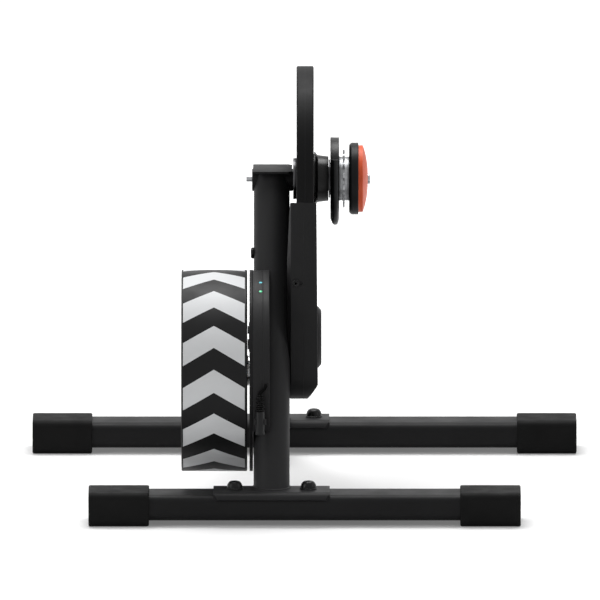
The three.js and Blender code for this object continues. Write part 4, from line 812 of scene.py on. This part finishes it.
def guardHalf(side):
    node = f"upper_guard_{side}"
    low, high = nodeBox(node)
    wall, seamX = guard["wall"], high.x if side == "left" else low.x
    drop = math.asin((axle[1] - low.z) / guard["radius"])
    bm = slab(arcPoints(*axle, guard["radius"], -drop, math.pi + drop, guard["steps"]), low.x, high.x)
    bm = carved(bm, [slab(gripLoop(), low.x - wall, high.x + wall)])
    bmesh.ops.remove_doubles(bm, verts=bm.verts, dist=weld)
    # The edges at the seam and at the bottom stay square, where the guard meets its other half and the cover
    rims = [edge for edge in bm.edges if edge.calc_face_angle(0) > guard["rimAngle"]
            and abs(edge.verts[0].co.x - edge.verts[1].co.x) < touch
            and not all(abs(vert.co.x - seamX) < touch for vert in edge.verts)
            and not all(abs(vert.co.z - low.z) < touch for vert in edge.verts)]
    bevel(bm, rims, guard["rounding"], 3, clamped=False)
    room = cylinder(axle, guard["room"], slotLeft, slotRight)
    bore = cylinder(axle, guard[f"{side}Bore"], low.x - wall, high.x + wall)
    finishPiece(f"{node}_moulded", carved(bm, [room, bore]), handlePlastic)


guardHalf("left")
guardHalf("right")
print("upper guard made")


# Lower belt cover

# left and right say how far each side reaches, as (z, x)
cover = {"left": [(112.85, -13.6), (115.25, -16.5), (125, -16.6), (170, -18.6), (260, -18.6), (328.4, -15.1)],
         "right": [(112.85, 3.0), (131.25, 14.1), (328.4, 12.5)], "endRadius": 30.1, "seam": -1, "edgeInset": 4.1,
         "edgeDepth": 8.6, "rounding": 1.1, "roundedFrom": 25, "seamRounding": 0.12, "legGap": 1.3,
         "innerBore": 22.1, "outerBore": 29.75, "steps": 200, "wall": 2.5, "roomLeft": -12.2, "roomRight": 10.2,
         "ledge": 3, "topSlope": 0.26, "topLand": 1.6, "slack": 0.04, "over": 9}
recess = {"x": -3.9, "z": 241.6, "radius": 2.3, "depth": 1.7, "sides": 40}
boss = {"share": 0.827, "base": 33, "top": 28.5, "rise": 3.8, "foot": 11, "rounding": 1.2, "steps": 120}
coverTop = cover["left"][-1][0]


def atHeight(line, z):
    for (lowZ, lowX), (highZ, highX) in zip(line, line[1:]):
        if z <= highZ:
            return lowX + (highX - lowX) * max(0, (z - lowZ) / (highZ - lowZ))
    return line[-1][1]


def bentSide(bm, x, line):
    # Gives one flat side of a slab its own bends, at the heights of line
    for z, _ in line[1:-1]:
        bmesh.ops.bisect_plane(bm, geom=bm.verts[:] + bm.edges[:] + bm.faces[:], plane_co=(0, 0, z),
                               plane_no=(0, 0, 1), dist=weld)
    for vert in bm.verts:
        if abs(vert.co.x - x) < touch:
            vert.co.x = atHeight(line, vert.co.z)


def seamVerts(bm):
    return {vert for vert in bm.verts if abs(vert.co.x - cover["seam"]) < touch}


def coverLoop(thick):
    return wheelLoop([(*brake, cover["endRadius"] - thick), (*axle, guard["radius"] - thick)], cover["steps"])


def coverRooms():
    # The wide room for the belt ends below the sloping top edges, and a narrow one goes on up between them.
    # Both keep the wall whole behind the slanted foot of the outer face.
    slack = cover["slack"]
    (footZ, footX), (bendZ, bendX) = cover["right"][:2]
    slant = Vector((bendZ - footZ, 0, footX - bendX)).normalized()
    rooms = []
    for lowX, highX, inward, normal in ((cover["roomLeft"], cover["roomRight"], 0, (0, cover["topSlope"], 1)),
                                        (slotLeft - slack, slotRight + slack, slack, (0, 0, 1))):
        thick = cover["wall"] + inward
        room = slab(coverLoop(thick), lowX, highX)
        sliceOff(room, (0, guardNearY, coverTop - cover["ledge"]), normal)
        sliceOff(room, Vector((footX, 0, footZ)) - slant * thick, slant)
        rooms.append(room)
    return rooms


def coverSlot():
    # The large pulley stands up through the top into the guard
    ledge, reach = cover["ledge"], guard["room"]
    near, far = axle[0] - reach, axle[0] + reach
    low, high = coverTop - 2 * ledge, coverTop + ledge
    return slab([(near, low), (far, low), (far, high), (near, high)], slotLeft, slotRight)


def topSlope(lowX, highX):
    # Beside the guard the cover's top edge falls away behind its near face
    near = guardNearY + cover["topLand"] - cover["wall"]
    far = axle[0] + 2 * guard["radius"]
    above = coverTop + cover["wall"]
    return slab([(near, coverTop), (far, coverTop - (far - near) * cover["topSlope"]), (far, above), (near, above)],
                lowX, highX)


def screwRecess():
    place = Matrix.Translation((recess["x"], guardNearY, recess["z"])) @ Matrix.Rotation(quarterTurn, 4, "X")
    return rod(recess["radius"], 2 * recess["depth"], recess["sides"], place)


def addBoss(bm):
    y, z = (start + (end - start) * boss["share"] for start, end in zip(axle, brake))
    face = max(x for _, x in cover["right"])
    high = face + boss["rise"]
    profile = [(boss["foot"], 0), (boss["foot"], boss["base"]), (high - boss["rise"], boss["base"]),
               (high, boss["top"]), (high, 0)]
    addTurned(bm, profile, (y, z), boss["steps"], boss["rounding"])


def coverHalf(side):
    node = f"cover_{side}_shell"
    line, outermost = (cover["left"], min) if side == "inner" else (cover["right"], max)
    outerX = outermost(x for _, x in line)
    seam, over, tight = cover["seam"], cover["over"], cover["seamRounding"]
    bm = slab(coverLoop(0), min(outerX, seam), max(outerX, seam))
    sliceOff(bm, (0, 0, coverTop), (0, 0, 1))
    bentSide(bm, outerX, line)
    if side == "inner":
        slope = Vector((-cover["edgeDepth"], -cover["edgeInset"], 0)).normalized()
        sliceOff(bm, (outerX + cover["edgeInset"], guardNearY, 0), slope)
    roundSharpEdges(bm, cover["rounding"], 3, cover["roundedFrom"], seamVerts(bm))
    atSeam = seamVerts(bm)
    bevel(bm, [edge for edge in bm.edges if all(vert in atSeam for vert in edge.verts)
               and edge.calc_face_angle(0) > cornerAngle], tight, 1)
    if side == "inner":
        cutters = [legRod(end, legs["radius"] + cover["legGap"]) for end in ("rear", "front")]
        cutters += [cylinder(axle, cover["innerBore"], outerX - over, seam + over),
                    topSlope(outerX - over, guardLeftX - tight), screwRecess()]
    else:
        cutters = [cylinder(axle, cover["outerBore"], seam - over, outerX + over),
                   topSlope(guardRightX + tight, outerX + over)]
    bm = carved(bm, [*cutters, *coverRooms(), coverSlot()])
    if side == "outer":
        addBoss(bm)
    finishPiece(f"{node}_moulded", bm, plastic)


# Heights above the seat and radii, from the axis below to the rim of the crown
coverScrews = {
    "cover_screw": {"profile": [(-1, 0), (-1, 3.5), (0, 3.8), (0.8, 3.8), (1.36, 3.3), (1.6, 2.4)],
                    "socket": 1.5, "socketDepth": 1.2, "way": (0, -1, 0), "material": screwSteelPaintedHighlight},
    "cover_mount_bolt": {"profile": [(-2, 0), (-2, 4.9), (0, 5.9), (1.65, 5.9), (2.55, 5.1), (3, 3.6)],
                         "socket": 2.3, "socketDepth": 2, "way": (-1, 0, 0), "material": boltSteel},
}


def coverScrew(node, sizes):
    low, high = nodeBox(node)
    profile, way = sizes["profile"], Vector(sizes["way"])
    seat = (low + high) / 2 + way * (abs((high - low).dot(way)) / 2 - profile[-1][0])
    boltPiece(f"{node}_socketed", profile, sizes["socket"], sizes["socketDepth"], stoodAlong(seat, way),
              sizes["material"])


coverHalf("inner")
coverHalf("outer")
for screwNode, screwSizes in coverScrews.items():
    coverScrew(screwNode, screwSizes)
print("belt cover made")


# Drive hub, chain guards, sprocket and lock cap

hub = {"bore": 14.2, "room": 18, "collarX": 6.6, "collar": 26.4, "lipX": 10.1, "lip": 28.5, "waistX": 11.2,
       "waistLength": 3.6, "waist": 25, "waistSteps": 8, "nose": 23.8, "noseEdge": 0.6, "steps": 120}
# The rims say how far in from a side and down from the edge each corner lies
chainRings = {"upperRadius": 43.9, "taper": 6.7, "gap": 0.02, "stepAngle": math.radians(57.5), "chamfer": 2.5,
              "bore": 20.3, "rounding": 0.5, "outerRounding": 0.3, "innerSteps": 144, "outerSteps": 120,
              "leftRim": ((1.8, 2.4), (2.6, 0.9), (3.6, 0.2), (4.3, 0)),
              "rightRim": ((0.9, 2.4), (1.7, 0.9), (2.7, 0.2), (3.5, 0))}
teeth = {"count": 14, "pitch": 12.7, "roller": 3.95, "spread": math.radians(58), "tip": 31, "tipHalf": 0.035,
         "left": 40.6, "width": 2, "rounding": 0.25, "bore": 17.6, "body": 20, "flange": 23.4, "flangeLeft": 36.7,
         "flangeRight": 47.3, "bodyRounding": 0.3, "bodySteps": 96, "valleySteps": 8, "tipSteps": 2}
lockCap = {"shoulder": 61.8, "wall": 2.4, "hole": 6.3, "inside": 14, "steps": 20, "fullness": 2.5, "turnSteps": 120}


def driveHub():
    low, high = nodeBox("drive_hub")
    bore, room, collar, lip, nose, edge = pick(hub, "bore", "room", "collar", "lip", "nose", "noseEdge")
    profile = [(low.x, bore), (low.x, room), (hub["collarX"], room), (hub["collarX"], collar), (hub["lipX"], collar),
               (hub["lipX"], lip)]
    for step in range(hub["waistSteps"] + 1):
        share = step / hub["waistSteps"]
        profile.append((hub["waistX"] + hub["waistLength"] * share,
                        lip - (lip - hub["waist"]) * math.sin(quarterTurn * share)))
    profile += [(high.x - edge, nose), (high.x, nose - edge), (high.x, bore)]
    turnedPiece("drive_hub_turned", profile, axle, enamel, hub["steps"], body="drive_pulley")


def innerChainGuard():
    # A smaller ring above and a larger one with a tapered rim below, with a step between them on each side
    low, high = nodeBox("inner_chain_guard")
    radius = (high.y - low.y) / 2
    bore, edge = chainRings["bore"], radius - chainRings["taper"]
    stepZ = axle[1] + radius * math.cos(chainRings["stepAngle"])
    leftRim = [(low.x + inward, radius - drop) for inward, drop in chainRings["leftRim"]]
    rightRim = [(high.x - inward, radius - drop) for inward, drop in chainRings["rightRim"]]
    rings = ((ringProfile(low.x, high.x, bore, chainRings["upperRadius"]), chainRings["rounding"],
              stepZ + chainRings["gap"], -1),
             ([(low.x, bore), (low.x, edge), *leftRim, *reversed(rightRim), (high.x, edge), (high.x, bore)], 0,
              stepZ, 1))
    bm = bmesh.new()
    for profile, rounding, z, way in rings:
        ring = bmesh.new()
        addTurned(ring, profile, axle, chainRings["innerSteps"], rounding)
        sliceOff(ring, (0, 0, z), (0, 0, way))
        addPart(bm, ring)
    finishPiece("inner_chain_guard_moulded", bm, ringPlastic, "freehub")


def outerChainGuard():
    low, high = nodeBox("outer_chain_guard")
    radius = (high.y - low.y) / 2
    bore, chamfer, rounding = pick(chainRings, "bore", "chamfer", "rounding")
    profile = [(low.x, bore), (low.x, radius - chamfer), (low.x + chamfer, radius), (high.x - rounding, radius),
               (high.x, radius - rounding), (high.x, bore)]
    turnedPiece("outer_chain_guard_moulded", profile, axle, outerRingPlastic, chainRings["outerSteps"],
                chainRings["outerRounding"], "freehub")


def sprocket():
    low, high = nodeBox("sprocket")
    half = math.pi / teeth["count"]
    pitchRadius = teeth["pitch"] / 2 / math.sin(half)
    outline = []
    for tooth in range(teeth["count"]):
        valley = fullTurn * tooth / teeth["count"]
        inward, tip = valley + math.pi, valley + half
        outline += arcPoints(axle[0] + pitchRadius * math.cos(valley), axle[1] + pitchRadius * math.sin(valley),
                             teeth["roller"], inward + teeth["spread"], inward - teeth["spread"],
                             teeth["valleySteps"])
        outline += arcPoints(*axle, teeth["tip"], tip - teeth["tipHalf"], tip + teeth["tipHalf"], teeth["tipSteps"])
    bm = slab(outline, teeth["left"], teeth["left"] + teeth["width"], teeth["rounding"], 2)
    bore, body, flange, left, right = pick(teeth, "bore", "body", "flange", "flangeLeft", "flangeRight")
    addTurned(bm, [(low.x, bore), (low.x, body), (left, body), (left, flange), (right, flange), (right, body),
                   (high.x, body), (high.x, bore)], axle, teeth["bodySteps"], teeth["bodyRounding"])
    finishPiece("sprocket_machined", bm, hubAluminium, "freehub")


def lockCapPiece():
    low, high = nodeBox("lock_cap")
    radius = (high.y - low.y) / 2
    shoulder, wall, hole, fullness = pick(lockCap, "shoulder", "wall", "hole", "fullness")
    profile = [(low.x, radius - wall), (low.x, radius), (shoulder, radius)]
    dome = (high.x - shoulder) / (1 - (hole / radius) ** fullness)
    for step in range(1, lockCap["steps"] + 1):
        across = 1 + (hole / radius - 1) * step / lockCap["steps"]
        profile.append((shoulder + (1 - across ** fullness) * dome, across * radius))
    profile += [(high.x - wall, hole), (high.x - wall, lockCap["inside"]), (shoulder, radius - 2 * wall)]
    turnedPiece("lock_cap_moulded", profile, axle, orangePlastic, lockCap["turnSteps"], body="freehub")


driveHub()
innerChainGuard()
outerChainGuard()
sprocket()
lockCapPiece()
print("hub, guards and sprocket made")


# Flywheel and its shaft

wheel = {"edge": 1.3, "wall": 16.8, "webLeft": -121, "webRight": -111, "hub": 24, "hubLeft": -126,
         "hubRight": -102.5, "dish": 86, "bore": 7.8, "steps": 180}
spindle = {"radius": 7.5, "thick": 8.6, "thickLeft": -91.7, "thickRight": -16.8, "chamfer": 0.6, "steps": 64}
brakeSizes = {"plateBore": 16.3, "plateRounding": 0.7, "housing": 16, "housingBore": 14.2, "housingRounding": 0.5,
              "housingSteps": 96}
nut = {"rounding": 0.6, "corners": 6}


def flywheelPieces():
    low, high = nodeBox("flywheel")
    rim = flywheelRadius - wheel["wall"]
    radius, bore, left, right = pick(wheel, "hub", "bore", "hubLeft", "hubRight")
    profile = [*ringProfile(low.x, high.x, rim, flywheelRadius), (wheel["webRight"], rim),
               (wheel["webRight"], radius), (right, radius), (right, bore), (left, bore), (left, radius),
               (wheel["webLeft"], radius), (wheel["webLeft"], wheel["dish"])]
    turnedPiece("flywheel_cast", profile, brake, flywheelPaint, wheel["steps"], wheel["edge"], "flywheel")
    low, high = nodeBox("flywheel_shaft")
    radius, thick, left, right, cut = pick(spindle, "radius", "thick", "thickLeft", "thickRight", "chamfer")
    profile = [(low.x, 0), (low.x, radius - cut), (low.x + cut, radius), (left, radius), (left, thick),
               (right, thick), (right, radius), (high.x - cut, radius), (high.x, radius - cut), (high.x, 0)]
    turnedPiece("flywheel_shaft_turned", profile, brake, spindleSteel, spindle["steps"], body="flywheel")
    low, high = nodeBox("flywheel_nut")
    outline = arcPoints(*brake, (high.y - low.y) / 2, 0, fullTurn, nut["corners"])[:-1]
    bm = slab(outline, low.x, high.x, nut["rounding"], 2)
    finishPiece("flywheel_nut_chamfered", bm, boltSteel, "flywheel")


def brakePieces():
    low, high = nodeBox("brake_plate")
    turnedPiece("brake_plate_turned", ringProfile(low.x, high.x, brakeSizes["plateBore"], flywheelRadius), brake,
                paint, wheel["steps"], brakeSizes["plateRounding"])
    low, high = nodeBox("bearing_housing")
    turnedPiece("bearing_housing_turned",
                ringProfile(low.x, high.x, brakeSizes["housingBore"], brakeSizes["housing"]), brake, polishedSteel,
                brakeSizes["housingSteps"], brakeSizes["housingRounding"])


flywheelPieces()
brakePieces()
print("flywheel and brake made")


# Electronics box, its lamps and the power lead

box = {"seam": -44, "rounding": 3.6, "seamRounding": 0.4, "rimRounding": 0.5, "rimAngle": 50, "chord": 51.5,
       "away": (-0.8339, 0.5519), "steps": 180, "segments": 6}
lampWindows = {"x": -46.6, "radius": 1.7, "proud": 0.4, "sunk": 2, "steps": 6, "sides": 32,
               "angles": {"teal": 70.3, "green": 61.2}}
lead = {"radius": 1.9, "exitX": -41, "exitRise": 51.5, "socketX": -47.2, "standoff": 5.2, "reliefTop": 42,
        "sides": 20, "samples": 6, "ribs": 4, "reliefWide": 4.7, "reliefSlim": 4.1, "ribDepth": 1.3,
        "ribRounding": 0.25, "reliefSides": 48}
socket = {"inside": 9, "bore": 3.2, "rim": 4.9, "rimHeight": 2.6, "body": 4.6, "bodyHeight": 3, "rounding": 0.3,
          "sides": 64}
clip = {"rounding": 0.4, "angle": 35, "weld": 0.001, "flat": 1}
leadY = brake[0] - flywheelRadius - lead["standoff"]


def boxHalf(node, low, high, rounding):
    bm = bmesh.new()
    addTurned(bm, ringProfile(low, high, 0, flywheelRadius), brake, box["steps"])
    away = Vector((0, *box["away"]))
    sliceOff(bm, Vector((0, *brake)) + away * box["chord"], -away)
    bevel(bm, [edge for edge in bm.edges if all(vert.co.x > high - touch for vert in edge.verts)
               and edge.calc_face_angle(0) > cornerAngle], rounding, box["segments"])
    roundSharpEdges(bm, box["rimRounding"], 2, box["rimAngle"])
    finishPiece(f"{node}_moulded", bm, plastic)


def lampWindow(name, degrees):
    angle = math.radians(degrees)
    outward = Vector((0, -math.cos(angle), math.sin(angle)))
    radius, sunk, steps = pick(lampWindows, "radius", "sunk", "steps")
    bend = [quarterTurn * step / steps for step in range(steps + 1)]
    bm = bmesh.new()
    addChain(bm, [(0, 0, -sunk), (0, radius, -sunk),
                  *((0, radius * math.cos(turn), lampWindows["proud"] * math.sin(turn)) for turn in bend)])
    turnFully(bm, lampWindows["sides"])
    face = Vector((lampWindows["x"], *brake)) + outward * flywheelRadius
    bmesh.ops.transform(bm, matrix=stoodAlong(face, outward), verts=bm.verts)
    finishPiece(f"{name}_lamp_window", bm, lampMaterials[name], node="light_guide")


def smoothPath(points, samples):
    # Catmull-Rom points through the given ones
    path = []
    ends = [points[0] * 2 - points[1], *points, points[-1] * 2 - points[-2]]
    for before, start, stop, after in zip(ends, ends[1:], ends[2:], ends[3:]):
        for step in range(samples):
            t = step / samples
            path.append(0.5 * (2 * start + (stop - before) * t + (2 * before - 5 * start + 4 * stop - after) * t ** 2
                               + (3 * start - before - 3 * stop + after) * t ** 3))
    return [*path, points[-1]]


def tubeAlong(path, radius, sides):
    bm = bmesh.new()
    way = (path[1] - path[0]).normalized()
    circle = bmesh.ops.create_circle(bm, segments=sides, radius=radius, cap_ends=False,
                                     matrix=stoodAlong(path[0], way))["verts"]
    ring = list({edge for vert in circle for edge in vert.link_edges})
    for index in range(1, len(path)):
        ahead = (path[min(index + 1, len(path) - 1)] - path[index - 1]).normalized()
        turn = way.rotation_difference(ahead)
        way = ahead
        grown = bmesh.ops.extrude_edge_only(bm, edges=ring)["geom"]
        moved = only(bmesh.types.BMVert, grown)
        ring = [edge for edge in only(bmesh.types.BMEdge, grown) if all(vert in moved for vert in edge.verts)]
        bmesh.ops.translate(bm, vec=path[index] - path[index - 1], verts=moved)
        bmesh.ops.rotate(bm, cent=path[index], matrix=turn.to_matrix(), verts=moved)
    bmesh.ops.holes_fill(bm, edges=boundary(bm), sides=0)
    return bm


def standing(profile, sides, rounding):
    # profile holds (height, radius) pairs around the plug's upright line
    bm = bmesh.new()
    verts = addChain(bm, [(0, radius, height) for height, radius in profile])
    bevel(bm, verts[1:-1], rounding, 2, "VERTICES")
    turnFully(bm, sides)
    bmesh.ops.translate(bm, vec=(lead["socketX"], leadY, 0), verts=bm.verts)
    return bm


def powerLead():
    low, high = nodeBox("power_socket")
    radius, exitX, socketX = pick(lead, "radius", "exitX", "socketX")
    start, top = low.z + lead["exitRise"], low.z + lead["reliefTop"]
    leaving = Vector((exitX, brake[0] - math.sqrt(flywheelRadius ** 2 - (brake[1] - start) ** 2), start))
    points = [leaving, leaving + Vector((0, -radius, 0)), Vector((exitX, leadY + radius / 2, start - radius / 2)),
              Vector(((exitX + socketX) / 2, leadY, (start + top) / 2)), Vector((socketX, leadY, top + radius)),
              Vector((socketX, leadY, top - 1))]
    bm = tubeAlong(smoothPath(points, lead["samples"]), radius, lead["sides"])
    finishPiece("power_lead_sheathed", bm, leadSheathPaintedHighlights)


def strainRelief():
    low, high = nodeBox("strain_relief")
    bands = 2 * lead["ribs"]
    step = (high.z - low.z) / bands
    profile = [(low.z - 1, 0)]
    for band in range(bands):
        across = lead["reliefWide"] + (lead["reliefSlim"] - lead["reliefWide"]) * band / bands
        across -= lead["ribDepth"] * (band % 2)
        profile += [(low.z + band * step, across), (low.z + (band + 1) * step, across)]
    profile.append((high.z, 0))
    bm = standing(profile, lead["reliefSides"], lead["ribRounding"])
    finishPiece("strain_relief_ribbed", bm, leadSheathPaintedHighlights)


def powerSocket():
    low, high = nodeBox("power_socket")
    inside, bore, rim, body = pick(socket, "inside", "bore", "rim", "body")
    profile = [(low.z + inside, 0), (low.z + inside, bore), (low.z, bore), (low.z, rim),
               (low.z + socket["rimHeight"], rim), (low.z + socket["bodyHeight"], body), (high.z, body),
               (high.z, 0)]
    bm = standing(profile, socket["sides"], socket["rounding"])
    finishPiece("power_socket_moulded", bm, ringPlastic)


def leadClip():
    # The solid's own shape with its flat faces whole again and its edges rounded
    bm = bmesh.new()
    bm.from_mesh(frame["nodes"]["lead_clip"].data)
    bmesh.ops.scale(bm, vec=(1 / mm, 1 / mm, 1 / mm), verts=bm.verts)
    bmesh.ops.remove_doubles(bm, verts=bm.verts, dist=clip["weld"])
    bmesh.ops.dissolve_limit(bm, angle_limit=math.radians(clip["flat"]), verts=bm.verts, edges=bm.edges)
    roundSharpEdges(bm, clip["rounding"], 2, clip["angle"])
    finishPiece("lead_clip_moulded", bm, plastic)


boxHalf("electronics_housing", nodeBox("electronics_housing")[0].x, box["seam"], box["seamRounding"])
boxHalf("electronics_cover", box["seam"], nodeBox("electronics_cover")[1].x, box["rounding"])
for lampName, lampAngle in lampWindows["angles"].items():
    lampWindow(lampName, lampAngle)
powerLead()
strainRelief()
powerSocket()
leadClip()
print("electronics and lead made")


# The pieces inside keep their CAD shapes and get their finishes

insideFinishes = [
    (axleSteel, ["inner_hub_bearing", "outer_hub_bearing", "inner_freehub_bearing", "outer_freehub_bearing",
                 "ratchet_ring", "lockring"]),
    (darkAxleSteel, ["freehub_body"]),
    (spindleSteel, ["left_flywheel_bearing", "right_flywheel_bearing", "pulley_nut", "tensioner_arm"]),
    (pulleyAluminium, ["small_pulley"]),
    (hubAluminium, ["large_pulley"]),
    (idlerAluminium, ["idler_pulley"]),
    (beltMaterial, ["drive_belt"]),
    (copper, ["stator"]),
    (boardResin, ["circuit_board"]),
    (plastic, ["speed_sensor"]),
]
for finish, finished in insideFinishes:
    for node in finished:
        mesh = frame["nodes"][node].data
        mesh.materials.clear()
        mesh.materials.append(finish)
print("inside pieces finished")
